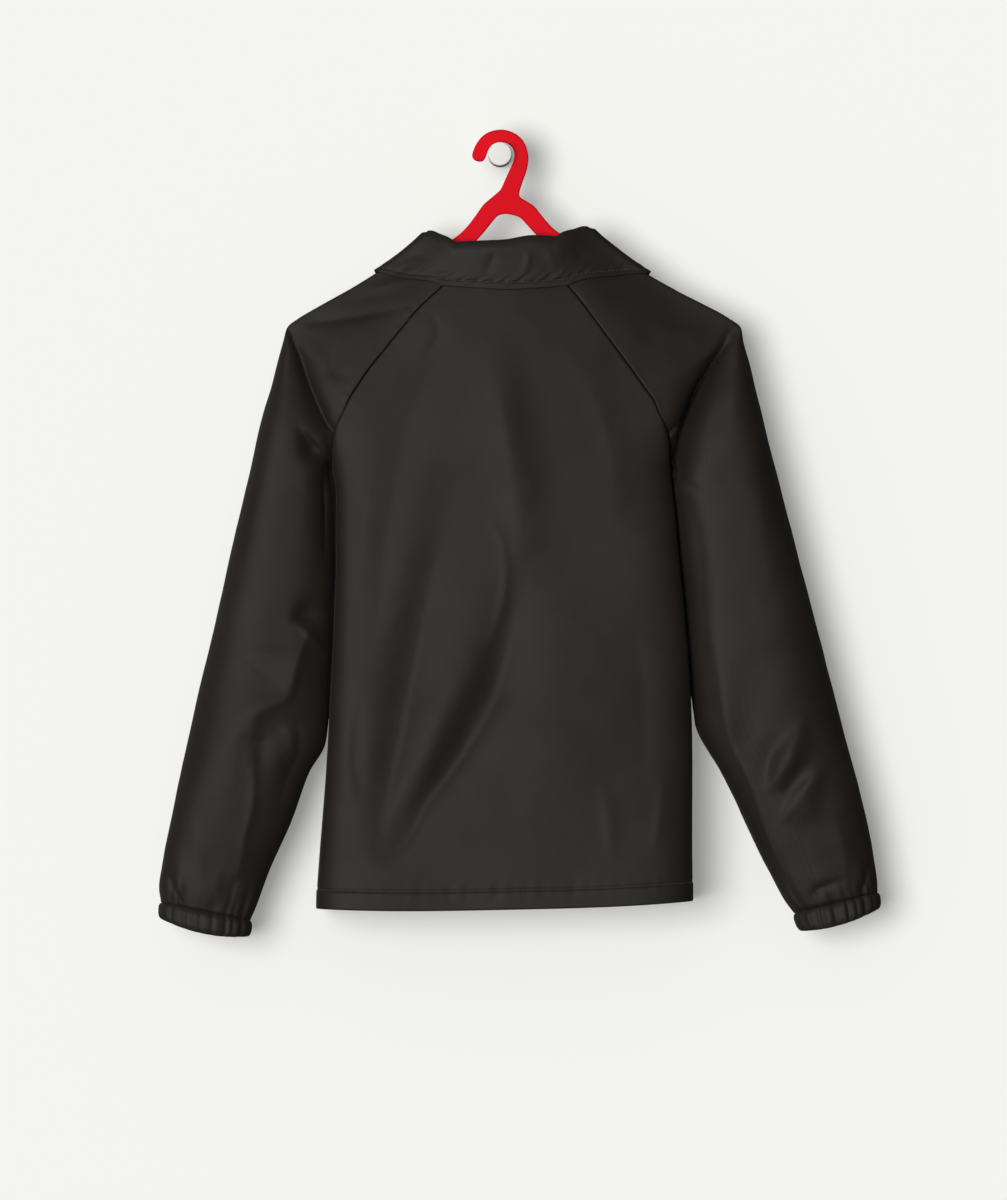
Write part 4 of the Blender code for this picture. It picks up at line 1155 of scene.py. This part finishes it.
def build_casing(side):
    """The gathered casing's points: rings on from the sleeve's last row, fuller in the middle."""
    turn = np.linspace(-1, 1, CASING_COLUMNS)
    last = sleeve_skin(side, np.array([[float(CUFF_ROW)]]), turn[None, :])[0]
    top = {}
    for name in ("seam", "edge"):
        ends = [read(SLEEVES[side], "row", f"{name}_{axis}", CUFF_ROW) for axis in "xz"]
        top[name] = np.array(ends)
    low = {name: np.array(CASINGS[side][name]) for name in top}
    width = np.linalg.norm(top["edge"] - top["seam"])
    share = np.linalg.norm(last[:, [0, 2]] - top["seam"], axis=1) / width
    bow = 4 * CASINGS[side]["sag"] * share * (1 - share)
    down = np.concatenate([np.linspace(0, 0.94, 24), [0.97, 0.99, 1]])[:, None, None]
    drop = np.linalg.norm((low["seam"] + low["edge"] - top["seam"] - top["edge"]) / 2)
    down = CASING_START / drop + (1 - CASING_START / drop) * down
    seam = top["seam"] + (low["seam"] - top["seam"]) * down
    edge = top["edge"] + (low["edge"] - top["edge"]) * down
    flat = seam + share[None, :, None] * (edge - seam)
    depth = np.broadcast_to(last[None, :, 1], flat.shape[:2])
    rings = np.stack([flat[..., 0], depth, flat[..., 1] - bow * down[..., 0]], axis=-1)
    centre = rings[:, :-1].mean(axis=1, keepdims=True)
    outward = unit(rings - centre)
    level = down[..., 0]
    fuller = along(CASING_FULLNESS["down"], CASING_FULLNESS["fuller"], level)
    wave = casing_wave(side, turn)[None, :] * (0.75 + 0.25 * np.sin(np.pi * level))
    puffed = 0.5 * np.sin(np.pi * level) * uneven(turn[None, :] * 90, 15, 2.6)
    ends = -0.9 * bell(level, 0.05) - 0.7 * bell(1 - level, 0.03)
    return rings + outward * (fuller + wave + puffed + ends)[..., None]


def build_collar():
    """The folded collar's middle surface: the stand, the half-round roll, and the fall.

    The fall is the skin below the neck seam moved out along its normals, so it lies on the
    yoke all round, and it rises to the roll towards its top.
    """
    half = np.concatenate([np.linspace(*stretch)[1:] for stretch in COLLAR_STRETCHES])
    places = np.concatenate([-half[::-1], [0], half])
    seam = around_neck(np.zeros(len(places)), places)
    around = np.gradient(seam, axis=0)
    out = unit(np.stack([around[:, 1], -around[:, 0], np.zeros(len(places))], axis=1))
    if np.sum(out * (seam - seam.mean(axis=0))) < 0:
        out = -out
    rise = read(COLLAR, "place", "rise", places)[:, None]
    stand_off = read(COLLAR, "place", "stand_off", places)[:, None]
    leaf_row = read(COLLAR, "place", "leaf_row", places)
    clear = CLOTH + 0.9 + LAP_STEP * ease((np.abs(places[:, None]) - SLEEVE_SHARE) / 0.1)
    up = np.array([0, 0, 1.0])
    foot = seam - out * CLOTH / 2 + up * (CLOTH / 2 + SEAM_GAP)
    radius = stand_off / 2
    columns = [foot + up * (rise - radius) * level for level in np.linspace(0, 0.9, STAND_ROWS)]
    top = foot + up * (rise - radius)
    for turn in np.radians(np.linspace(165, 25, ROLL_ROWS)):
        columns.append(top + out * radius * (1 + np.cos(turn)) + up * radius * np.sin(turn))
    shares = np.linspace(0, 1, FALL_ROWS)
    spread = read(COLLAR, "place", "spread", places) * np.sign(places)
    fine = around_neck(shares[:, None] * leaf_row, places - shares[:, None] * spread)
    normal = facing_out(fine, normals_of(fine), fine.mean(axis=(0, 1)))
    for index in range(FALL_SKIPS, FALL_ROWS):
        share = shares[index]
        lift = clear + (stand_off - CLOTH) * (1 - share) ** 1.5
        columns.append(fine[index] + normal[index] * lift + up * rise * (1 - share) ** 2.2)
    points = np.stack(columns)
    fall = points[FALL_FROM:]
    normal = facing_out(fall, normals_of(points)[FALL_FROM:], fine.mean(axis=(0, 1)))
    down = run_along(points, 0)[FALL_FROM:]
    away = down[-1:] - down
    across = run_along(fall, 1)
    height = stitch_groove(away - COLLAR_STITCH, "collar")
    height += 0.35 * uneven(across, 12, 0.8) * bell(away - COLLAR_STITCH - 2, 6)
    on_back = 1 - ease((np.abs(places)[None, :] - 0.46) / 0.04)
    height += on_back * crease_height(COLLAR_CREASES, fall[..., 0], fall[..., 2])
    height += 0.25 * soft_noise(fall, 14, 0.3)
    top_fade = ease(np.arange(len(fall)) / 6)[:, None]
    points[FALL_FROM:] = fall + normal * (height * top_fade)[..., None]
    return points


def edge_lines(path, fineness):
    """The left and right edge of a band, from its centre line and widths."""
    run = cumulative(np.hypot(np.diff(path["x"]), np.diff(path["z"])))
    at = np.linspace(0, run[-1], fineness * (len(run) - 1) + 1)
    centre = np.stack([along(run, path["x"], at), along(run, path["z"], at)], axis=1)
    width = along(run, path["width"], at)
    way = unit(np.gradient(centre, axis=0))
    left = np.stack([-way[:, 1], way[:, 0]], axis=1)
    return centre + left * width[:, None] / 2, centre - left * width[:, None] / 2, way[-1]


def round_end(first, last, bulge, count=15):
    """Points of a rounded end between two corners, bulging along the given direction."""
    angle = np.linspace(0, np.pi, count + 2)[1:-1, None]
    middle = (first + last) / 2
    return middle + (first - middle) * np.cos(angle) + bulge * np.sin(angle)


def softened(outline, rounds):
    """A closed outline with its corners cut: each point moves a quarter way to its neighbours."""
    for _ in range(rounds):
        outline = outline / 2 + (np.roll(outline, 1, axis=0) + np.roll(outline, -1, axis=0)) / 4
    return outline


def hanger_outline():
    hook_left, hook_right, _ = edge_lines(HOOK, 6)
    left_upper, left_lower, left_way = edge_lines(LEFT_ARM, 6)
    right_upper, right_lower, right_way = edge_lines(RIGHT_ARM, 6)
    hook_start = unit(np.array([HOOK["x"][0] - HOOK["x"][1], HOOK["z"][0] - HOOK["z"][1]]))
    stretches = [
        round_end(hook_right[0], hook_left[0], hook_start * HOOK_END_BULGE),
        hook_left,
        right_upper,
        round_end(right_upper[-1], right_lower[-1], right_way * RIGHT_ARM["width"][-1] / 2),
        right_lower[::-1],
        [ARMS_MEET],
        left_upper,
        round_end(left_upper[-1], left_lower[-1], left_way * LEFT_ARM["width"][-1] / 2),
        left_lower[::-1],
        hook_right[::-1],
    ]
    return np.concatenate([np.asarray(stretch) for stretch in stretches])


def build_hanger():
    """The hanger's plate: its outline, moved in by a quarter circle along each face's edge."""
    outline = hanger_outline()
    steps = np.diff(outline, axis=0, append=outline[:1])
    run = cumulative(np.linalg.norm(steps, axis=1))
    closed = np.concatenate([outline, outline[:1]])
    at = np.linspace(0, run[-1], OUTLINE_POINTS + 1)[:-1]
    even = np.stack([np.interp(at, run, closed[:, axis]) for axis in (0, 1)], axis=1)
    outline = softened(even, OUTLINE_ROUNDS)
    way = unit(np.roll(outline, -1, axis=0) - np.roll(outline, 1, axis=0))
    inward = np.stack([way[:, 1], -way[:, 0]], axis=1)
    turn = np.linspace(0, np.pi / 2, 6)
    pulled = HANGER_BEVEL * (1 - np.sin(turn))
    face = HANGER_THICKNESS / 2 - HANGER_BEVEL * (1 - np.cos(turn))
    pulled = np.concatenate([pulled, pulled[::-1]])
    y = np.concatenate([-face, face[::-1]])
    flat = outline[None, :, :] + inward[None, :, :] * pulled[:, None, None]
    depth = np.broadcast_to((y - HANGER_DEPTH)[:, None], flat.shape[:2])
    rings = np.stack([flat[..., 0], depth, flat[..., 1]], axis=-1)
    index = np.arange(rings.size // 3).reshape(rings.shape[:2])
    wrapped = np.concatenate([index, index[:, :1]], axis=1)
    faces = grid_quads(wrapped).tolist() + [index[0].tolist(), index[-1][::-1].tolist()]
    mesh = bpy.data.meshes.new("hanger_plate")
    mesh.from_pydata((rings.reshape(-1, 3) * MM).tolist(), [], faces)
    smooth = np.ones(len(faces), bool)
    smooth[-2:] = False
    mesh.polygons.foreach_set("use_smooth", smooth)
    mesh.update(calc_edges=True)
    return turned_outwards(put("hanger_plate", mesh))


def turned_outwards(obj):
    """The object, with its faces turned to point out."""
    work = bmesh.new()
    work.from_mesh(obj.data)
    bmesh.ops.recalc_face_normals(work, faces=work.faces)
    work.to_mesh(obj.data)
    work.free()
    return obj


def turned_grid(radius, y, sides, centre):
    """Points and quads of a profile turned about a line along y through centre.

    At radius 0 the ring is a single point, given once more in each quad.
    """
    angle = np.linspace(0, 2 * np.pi, sides + 1)[None, :]
    radius, y = np.asarray(radius, float)[:, None], np.asarray(y, float)[:, None]
    ring = np.broadcast_arrays(radius * np.cos(angle), y, radius * np.sin(angle))
    points = np.stack(ring, axis=-1)
    index = np.arange(points.size // 3).reshape(points.shape[:2])
    index[:, -1] = index[:, 0]
    return points.reshape(-1, 3) + np.asarray(centre), index


def turned_piece(name, radius, y, sides, centres):
    """One mesh of the same turned profile at each of the centres. It closes at radius 0.02 mm."""
    verts, faces = [], []
    for number, centre in enumerate(centres):
        points, index = turned_grid(radius, y, sides, centre)
        start = number * len(points)
        verts.append(points)
        faces += (grid_quads(index) + start).tolist()
    work = bmesh.new()
    made = [work.verts.new(point * MM) for point in np.concatenate(verts)]
    for face in faces:
        corners = list(dict.fromkeys(face))
        work.faces.new([made[corner] for corner in corners])
    bmesh.ops.remove_doubles(work, verts=work.verts, dist=1e-6)
    loose = [vert for vert in work.verts if not vert.link_faces]
    bmesh.ops.delete(work, geom=loose, context="VERTS")
    bmesh.ops.recalc_face_normals(work, faces=work.faces)
    mesh = bpy.data.meshes.new(name)
    work.to_mesh(mesh)
    work.free()
    mesh.polygons.foreach_set("use_smooth", np.ones(len(mesh.polygons), bool))
    mesh.update()
    return put(name, mesh)


def fill(node, values):
    """Sets the node's named inputs."""
    for name, value in values.items():
        node.inputs[name].default_value = value


def nodes_of(name, colour, roughness):
    """A new node material with its shader's own colour and roughness set."""
    made = bpy.data.materials.new(name)
    made.use_nodes = True
    tree = made.node_tree
    shader = tree.nodes["Principled BSDF"]
    fill(shader, {"Base Color": (*colour, 1), "Roughness": roughness})
    made.diffuse_color = (*colour, 1)
    return made, tree, shader


def noise(tree, vector, scale, detail, roughness=0.5):
    node = tree.nodes.new("ShaderNodeTexNoise")
    fill(node, {"Scale": scale, "Detail": detail, "Roughness": roughness})
    tree.links.new(vector, node.inputs["Vector"])
    return node.outputs["Fac"]


def ramp(tree, value, low, high):
    """A colour ramp between two colours at two places of a value."""
    node = tree.nodes.new("ShaderNodeValToRGB")
    for element, (place, colour) in zip(node.color_ramp.elements, (low, high)):
        element.position = place
        element.color = (*colour, 1)
    tree.links.new(value, node.inputs["Fac"])
    return node.outputs["Color"]


def raised(tree, shader, heights):
    """Bumps on a shader: each height value with its own distance in metres and strength."""
    normal = None
    for value, distance, strength in heights:
        node = tree.nodes.new("ShaderNodeBump")
        fill(node, {"Distance": distance, "Strength": strength})
        tree.links.new(value, node.inputs["Height"])
        if normal is not None:
            tree.links.new(normal, node.inputs["Normal"])
        normal = node.outputs["Normal"]
    tree.links.new(normal, shader.inputs["Normal"])


def threads(tree, vector, axis, pitch):
    """Fine parallel threads across one axis of the cloth's own map, as a wave."""
    node = tree.nodes.new("ShaderNodeTexWave")
    node.wave_type = "BANDS"
    node.bands_direction = axis
    fill(node, {"Scale": 1 / (pitch * 3.2), "Distortion": 0.4})
    tree.links.new(vector, node.inputs["Vector"])
    return node.outputs["Fac"]


def nylon_material(look):
    """Crisp plain-weave nylon: nearly black, a soft gloss, fine threads and tiny crumples."""
    made, tree, shader = nodes_of("nylon_cloth", look.cloth_colour, look.cloth_roughness)
    fill(shader, {"Specular IOR Level": look.cloth_gloss, "Sheen Weight": look.cloth_sheen})
    fill(shader, {"Sheen Roughness": 0.45, "Sheen Tint": (1, 1, 1, 1)})
    place = tree.nodes.new("ShaderNodeTexCoord")
    colour = look.cloth_colour
    tone = noise(tree, place.outputs["Object"], 14, 4)
    dark = tuple(channel * 0.85 for channel in colour)
    light = tuple(channel * 1.15 for channel in colour)
    tree.links.new(ramp(tree, tone, (0.3, dark), (0.7, light)), shader.inputs["Base Color"])
    across = threads(tree, place.outputs["UV"], "X", 0.0005)
    down = threads(tree, place.outputs["UV"], "Y", 0.0005)
    both = tree.nodes.new("ShaderNodeMath")
    both.operation = "MAXIMUM"
    tree.links.new(across, both.inputs[0])
    tree.links.new(down, both.inputs[1])
    crumple = noise(tree, place.outputs["Object"], 55, 5, 0.55)
    swell = noise(tree, place.outputs["Object"], 16, 3)
    raised(
        tree,
        shader,
        (
            (swell, 0.0016, look.cloth_crumple),
            (crumple, 0.0005, look.cloth_crumple),
            (both.outputs[0], 0.00006, 0.6),
        ),
    )
    return made


def thread_material(look):
    made, _, shader = nodes_of("sewing_thread", look.thread_colour, 0.5)
    fill(shader, {"Sheen Weight": 0.15})
    return made


def cap_material(look):
    made, _, shader = nodes_of("snap_enamel", look.snap_colour, 0.28)
    fill(shader, {"Coat Weight": 0.3, "Coat Roughness": 0.12})
    return made


def plastic_material(look):
    """Moulded satin plastic, with a faint unevenness of its gloss and surface."""
    colour, roughness = look.plastic_colour, look.plastic_roughness
    made, tree, shader = nodes_of("red_moulded_plastic", colour, roughness)
    fill(shader, {"Specular IOR Level": 0.03})
    place = tree.nodes.new("ShaderNodeTexCoord")
    fine = noise(tree, place.outputs["Object"], 900, 2)
    slow = noise(tree, place.outputs["Object"], 24, 2)
    raised(tree, shader, ((slow, 0.0006, 0.35), (fine, 0.00003, 0.5)))
    return made


def wood_material(look):
    """Pale lacquered wood: growth rings about the peg's own axis, with fine pores along it."""
    made, tree, shader = nodes_of("pale_dowel_wood", look.wood_colour, 0.55)
    fill(shader, {"Specular IOR Level": 0.2})
    place = tree.nodes.new("ShaderNodeTexCoord")
    stretch = tree.nodes.new("ShaderNodeMapping")
    fill(stretch, {"Scale": (1, 0.06, 1), "Location": (0.004, 0, 0.006)})
    tree.links.new(place.outputs["Object"], stretch.inputs["Vector"])
    rings = tree.nodes.new("ShaderNodeTexWave")
    rings.wave_type = "RINGS"
    rings.rings_direction = "Y"
    fill(rings, {"Scale": 190, "Distortion": 3, "Detail": 3})
    tree.links.new(stretch.outputs["Vector"], rings.inputs["Vector"])
    colour = look.wood_colour
    dark = tuple(channel * 0.9 for channel in colour)
    grain = ramp(tree, rings.outputs["Fac"], (0.2, dark), (0.8, tuple(colour)))
    tree.links.new(grain, shader.inputs["Base Color"])
    pores = noise(tree, stretch.outputs["Vector"], 1500, 3)
    raised(tree, shader, ((pores, 0.00008, 0.5),))
    return made


def ready(name, make, look):
    """The named material, made the first time that it is asked for."""
    return bpy.data.materials.get(name) or make(look)


def declare(obj, finish, slot, *nodes):
    """Gives a piece its material and CAD body, and hides the solids that it stands for."""
    if finish is not None:
        obj.data.materials.append(finish)
    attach(obj, "root")
    if nodes:
        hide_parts(*nodes)
    return obj


def stitches_on(name, points, normal, distance, look, trim=0):
    """Stitches on a grid at a distance from its last row, less trim points at each end."""
    path, up = line_on(points, normal, distance)
    kept = slice(trim, len(path) - trim)
    length, radius = look.stitch_length / MM, look.stitch_radius / MM
    made = stitch_line(name, path[kept], up[kept], length, radius, thread(look))
    return declare(made, None, "nylon")


def thread(look):
    return ready("sewing_thread", thread_material, look)


def nylon(look):
    return ready("nylon_cloth", nylon_material, look)


def amount(name, description, default, **limits):
    """A setting that is a number."""
    return bpy.props.FloatProperty(name=name, description=description, default=default, **limits)


def tint(name, description, default):
    """A setting that is a colour."""
    return bpy.props.FloatVectorProperty(
        name=name, description=description, default=default, subtype="COLOR"
    )


class CoachJacketLook(bpy.types.PropertyGroup):
    """Sizes and colours that a user would change."""

    crease_strength: amount(
        "Crease strength", "How deep the finer creases are", 1.0, min=0.0, max=2.0
    )
    stitch_length: amount("Stitch length", "Length of one stitch", 0.0026, unit="LENGTH")
    stitch_radius: amount("Thread radius", "Half the thread's thickness", 0.00028, unit="LENGTH")
    cloth_colour: tint("Cloth", "Colour of the nylon", (0.0125, 0.0101, 0.0084))
    cloth_roughness: amount("Cloth roughness", "How dull the nylon is", 0.46, subtype="FACTOR")
    cloth_gloss: amount(
        "Cloth gloss", "Strength of the nylon's highlights", 0.105, subtype="FACTOR"
    )
    cloth_sheen: amount("Cloth sheen", "Light haze at grazing angles", 0.03, subtype="FACTOR")
    cloth_crumple: amount("Crumple", "Strength of the tiny unevenness", 0.35, subtype="FACTOR")
    thread_colour: tint("Thread", "Colour of the stitches", (0.014, 0.013, 0.012))
    snap_colour: tint("Snaps", "Colour of the snap caps", (0.016, 0.016, 0.016))
    plastic_colour: tint("Hanger", "Colour of the hanger", (0.6, 0.0012, 0.008))
    plastic_roughness: amount("Hanger roughness", "How dull the plastic is", 0.38, subtype="FACTOR")
    wood_colour: tint("Peg", "Colour of the peg", (0.72, 0.7, 0.66))
    wall_colour: tint("Wall", "Colour of the wall and floor", (0.83, 0.83, 0.792))
    key_strength: amount("Key light", "Strength of the light from the left", 3.0)
    sky_strength: amount("Sky", "Strength of the light all round", 0.25)


class Making:
    """What the operators share: each one's make builds its pieces with the scene's settings."""

    def execute(self, context):
        self.make(context.scene.coach_jacket)
        return {"FINISHED"}


class JACKET_OT_back(Making, bpy.types.Operator):
    """Makes the back panel, with its hem's stitches."""

    bl_idname = "jacket.back"
    bl_label = "Back panel"

    def make(self, look):
        points, normal, rows = build_back(look.crease_strength)
        cloth = shell("back_cloth", points, hem_shell(rows), BODY_CENTRE)
        declare(cloth, nylon(look), "nylon", "back_panel")
        stitches = stitches_on("back_hem_stitches", points, normal, HEM_TURN, look, 2)


class JACKET_OT_fronts(Making, bpy.types.Operator):
    """Makes both fronts, with their hem and placket stitches."""

    bl_idname = "jacket.fronts"
    bl_label = "Fronts"

    def make(self, look):
        for side in ("left", "right"):
            points, normal, rows = build_front(side, look.crease_strength)
            cloth = shell("front_cloth_" + side, points, hem_shell(rows), BODY_CENTRE)
            declare(cloth, nylon(look), "nylon", "front_" + side)
            name = "front_hem_stitches_" + side
            pieces = [stitches_on(name, points, normal, HEM_TURN, look, 2)]
            if side == "left":
                across = points.swapaxes(0, 1), normal.swapaxes(0, 1)
                pieces.append(stitches_on("placket_stitches", *across, PLACKET_STITCH, look))


class JACKET_OT_sleeves(Making, bpy.types.Operator):
    """Makes both raglan sleeves."""

    bl_idname = "jacket.sleeves"
    bl_label = "Sleeves"

    def make(self, look):
        for side in ("left", "right"):
            points, joined_from, centre = build_sleeve(side, look.crease_strength)
            cloth = shell("sleeve_cloth_" + side, points, SHELL, centre, joined_from)
            declare(cloth, nylon(look), "nylon", "sleeve_" + side)


class JACKET_OT_cuffs(Making, bpy.types.Operator):
    """Makes both gathered cuff casings."""

    bl_idname = "jacket.cuffs"
    bl_label = "Cuffs"

    def make(self, look):
        for side in ("left", "right"):
            points = build_casing(side)
            cloth = shell("cuff_cloth_" + side, points, CASING_SHELL, points.mean(axis=(0, 1)), 0)
            declare(cloth, nylon(look), "nylon", "cuff_" + side)


class JACKET_OT_collar(Making, bpy.types.Operator):
    """Makes the folded collar, with the stitches along its edge."""

    bl_idname = "jacket.collar"
    bl_label = "Collar"

    def make(self, look):
        points = build_collar()
        cloth = shell("collar_cloth", points, CLOTH, None, middle=True)
        declare(cloth, nylon(look), "nylon", "collar")
        fall = points[FALL_FROM:]
        normal = facing_out(fall, normals_of(points)[FALL_FROM:], points[0].mean(axis=0))
        surface = fall + normal * CLOTH / 2
        stitches = stitches_on("collar_stitches", surface, normal, COLLAR_STITCH, look, 4)


class JACKET_OT_snaps(Making, bpy.types.Operator):
    """Makes the snap caps down the lapped front."""

    bl_idname = "jacket.snaps"
    bl_label = "Snaps"

    def make(self, look):
        for number, height in enumerate(SNAP_HEIGHTS, start=1):
            face_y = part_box(f"snap_{number}")[0][1]
            centre = (MIDDLE_X, face_y / MM, height)
            profile = CAP["radius"], CAP["height"]
            cap = turned_piece(f"snap_cap_{number}", *profile, CAP_SIDES, [centre])
            declare(cap, ready("snap_enamel", cap_material, look), "snap_cap", f"snap_{number}")


class JACKET_OT_hanger(Making, bpy.types.Operator):
    """Makes the hanger's plate with its hook."""

    bl_idname = "jacket.hanger"
    bl_label = "Hanger"

    def make(self, look):
        finish = ready("red_moulded_plastic", plastic_material, look)
        declare(build_hanger(), finish, "red_plastic", "hanger")


class JACKET_OT_peg(Making, bpy.types.Operator):
    """Makes the wooden wall peg."""

    bl_idname = "jacket.peg"
    bl_label = "Peg"

    def make(self, look):
        peg = turned_piece("peg_dowel", PEG["radius"], PEG["y"], PEG_SIDES, [(0, 0, 0)])
        declare(peg, ready("pale_dowel_wood", wood_material, look), "pale_wood", "wall_peg")


class JACKET_OT_studio(Making, bpy.types.Operator):
    """Makes the wall, the floor, the lights and the camera."""

    bl_idname = "jacket.studio"
    bl_label = "Studio"

    def make(self, look):
        floor = plain_sheet("floor", (0, 0, FLOOR_Z), 0)
        wall = plain_sheet("wall", (0, WALL_Y, 0), np.pi / 2)
        floor.data.materials.append(wall_material("pale_floor", look))
        wall.data.materials.append(wall_material("pale_wall", look))
        for name in ("visible_diffuse", "visible_glossy", "visible_transmission", "visible_shadow"):
            setattr(wall, name, False)
            setattr(floor, name, False)
        make_lights(look)
        make_camera()


class JACKET_PT_panel(bpy.types.Panel):
    """Lists the jacket's pieces and settings."""

    bl_idname = "JACKET_PT_panel"
    bl_label = "Coach jacket"
    bl_space_type = "VIEW_3D"
    bl_region_type = "UI"
    bl_category = "Jacket"

    def draw(self, context):
        look = context.scene.coach_jacket
        for name in CoachJacketLook.__annotations__:
            self.layout.prop(look, name)
        for operator in OPERATORS:
            self.layout.operator(operator.bl_idname)


OPERATORS = (
    JACKET_OT_back,
    JACKET_OT_fronts,
    JACKET_OT_sleeves,
    JACKET_OT_cuffs,
    JACKET_OT_collar,
    JACKET_OT_snaps,
    JACKET_OT_hanger,
    JACKET_OT_peg,
    JACKET_OT_studio,
)


def plain_sheet(name, centre, tilt):
    """A flat square of the studio's size, tilted about x and placed in its mesh."""
    half = STUDIO_SIZE / 2
    x, y = half * np.array([(-1, -1), (1, -1), (1, 1), (-1, 1)], float).T
    turned = np.stack([x, y * np.cos(tilt), y * np.sin(tilt)], axis=1)
    mesh = bpy.data.meshes.new(name)
    mesh.from_pydata((turned + centre).tolist(), [], [[0, 1, 2, 3]])
    return put(name, mesh)


def wall_material(name, look):
    """Matt paint that is clear from behind, so that views from the wall's side see the jacket."""
    paint = [channel * (1 - WALL_GLOW) for channel in look.wall_colour]
    made, tree, shader = nodes_of(name, paint, 0.9)
    glow = {"Emission Color": (*look.wall_colour, 1), "Emission Strength": WALL_GLOW}
    fill(shader, {"Specular IOR Level": 0, **glow})
    clear = tree.nodes.new("ShaderNodeBsdfTransparent")
    geometry = tree.nodes.new("ShaderNodeNewGeometry")
    mix = tree.nodes.new("ShaderNodeMixShader")
    tree.links.new(geometry.outputs["Backfacing"], mix.inputs["Fac"])
    tree.links.new(shader.outputs["BSDF"], mix.inputs[1])
    tree.links.new(clear.outputs["BSDF"], mix.inputs[2])
    tree.links.new(mix.outputs["Shader"], tree.nodes["Material Output"].inputs["Surface"])
    return made


def make_lights(look):
    """A sky that is brighter on SKY_SIDE, and a broad soft key from the camera's left."""
    world = bpy.data.worlds.new("even_light")
    world.use_nodes = True
    tree = world.node_tree
    sky = tree.nodes["Background"]
    fill(sky, {"Color": SKY_COLOUR})
    side = tree.nodes.new("ShaderNodeVectorMath")
    side.operation = "DOT_PRODUCT"
    side.inputs[1].default_value = Vector(SKY_SIDE).normalized()
    place = tree.nodes.new("ShaderNodeTexCoord")
    tree.links.new(place.outputs["Generated"], side.inputs[0])
    level = tree.nodes.new("ShaderNodeMapRange")
    level.interpolation_type = "SMOOTHSTEP"
    shares = {"To Min": SKY_DARK * look.sky_strength, "To Max": SKY_LIGHT * look.sky_strength}
    fill(level, {"From Min": SKY_FADE, **shares})
    tree.links.new(side.outputs["Value"], level.inputs["Value"])
    tree.links.new(level.outputs["Result"], sky.inputs["Strength"])
    bpy.context.scene.world = world
    lamp = bpy.data.lights.new("key", "SUN")
    lamp.energy = look.key_strength
    lamp.angle = np.radians(KEY_SPREAD)
    put("key", lamp).rotation_euler = Vector(KEY_WAY).to_track_quat("-Z", "Y").to_euler()


def make_camera():
    """The photograph's view: square on to the wall, from CAMERA_AWAY in front of the cloth."""
    lens = bpy.data.cameras.new("camera")
    lens.sensor_width = SENSOR
    lens.lens = SENSOR / 2 / (VIEW_HEIGHT / 2 / CAMERA_AWAY)
    camera = put("camera", lens)
    camera.location = (VIEW_X * MM, (VIEW_DEPTH - CAMERA_AWAY) * MM, VIEW_Z * MM)
    camera.rotation_euler = (np.pi / 2, 0, 0)
    bpy.context.scene.camera = camera


def register():
    for cls in (CoachJacketLook, *OPERATORS, JACKET_PT_panel):
        bpy.utils.register_class(cls)
    bpy.types.Scene.coach_jacket = bpy.props.PointerProperty(type=CoachJacketLook)


def unregister():
    del bpy.types.Scene.coach_jacket
    for cls in reversed((CoachJacketLook, *OPERATORS, JACKET_PT_panel)):
        bpy.utils.unregister_class(cls)


def main():
    register()
    bpy.context.scene.view_settings.view_transform = "Standard"
    for operator in OPERATORS:
        getattr(bpy.ops.jacket, operator.bl_idname.removeprefix("jacket."))()


if __name__ == "__main__":
    main()
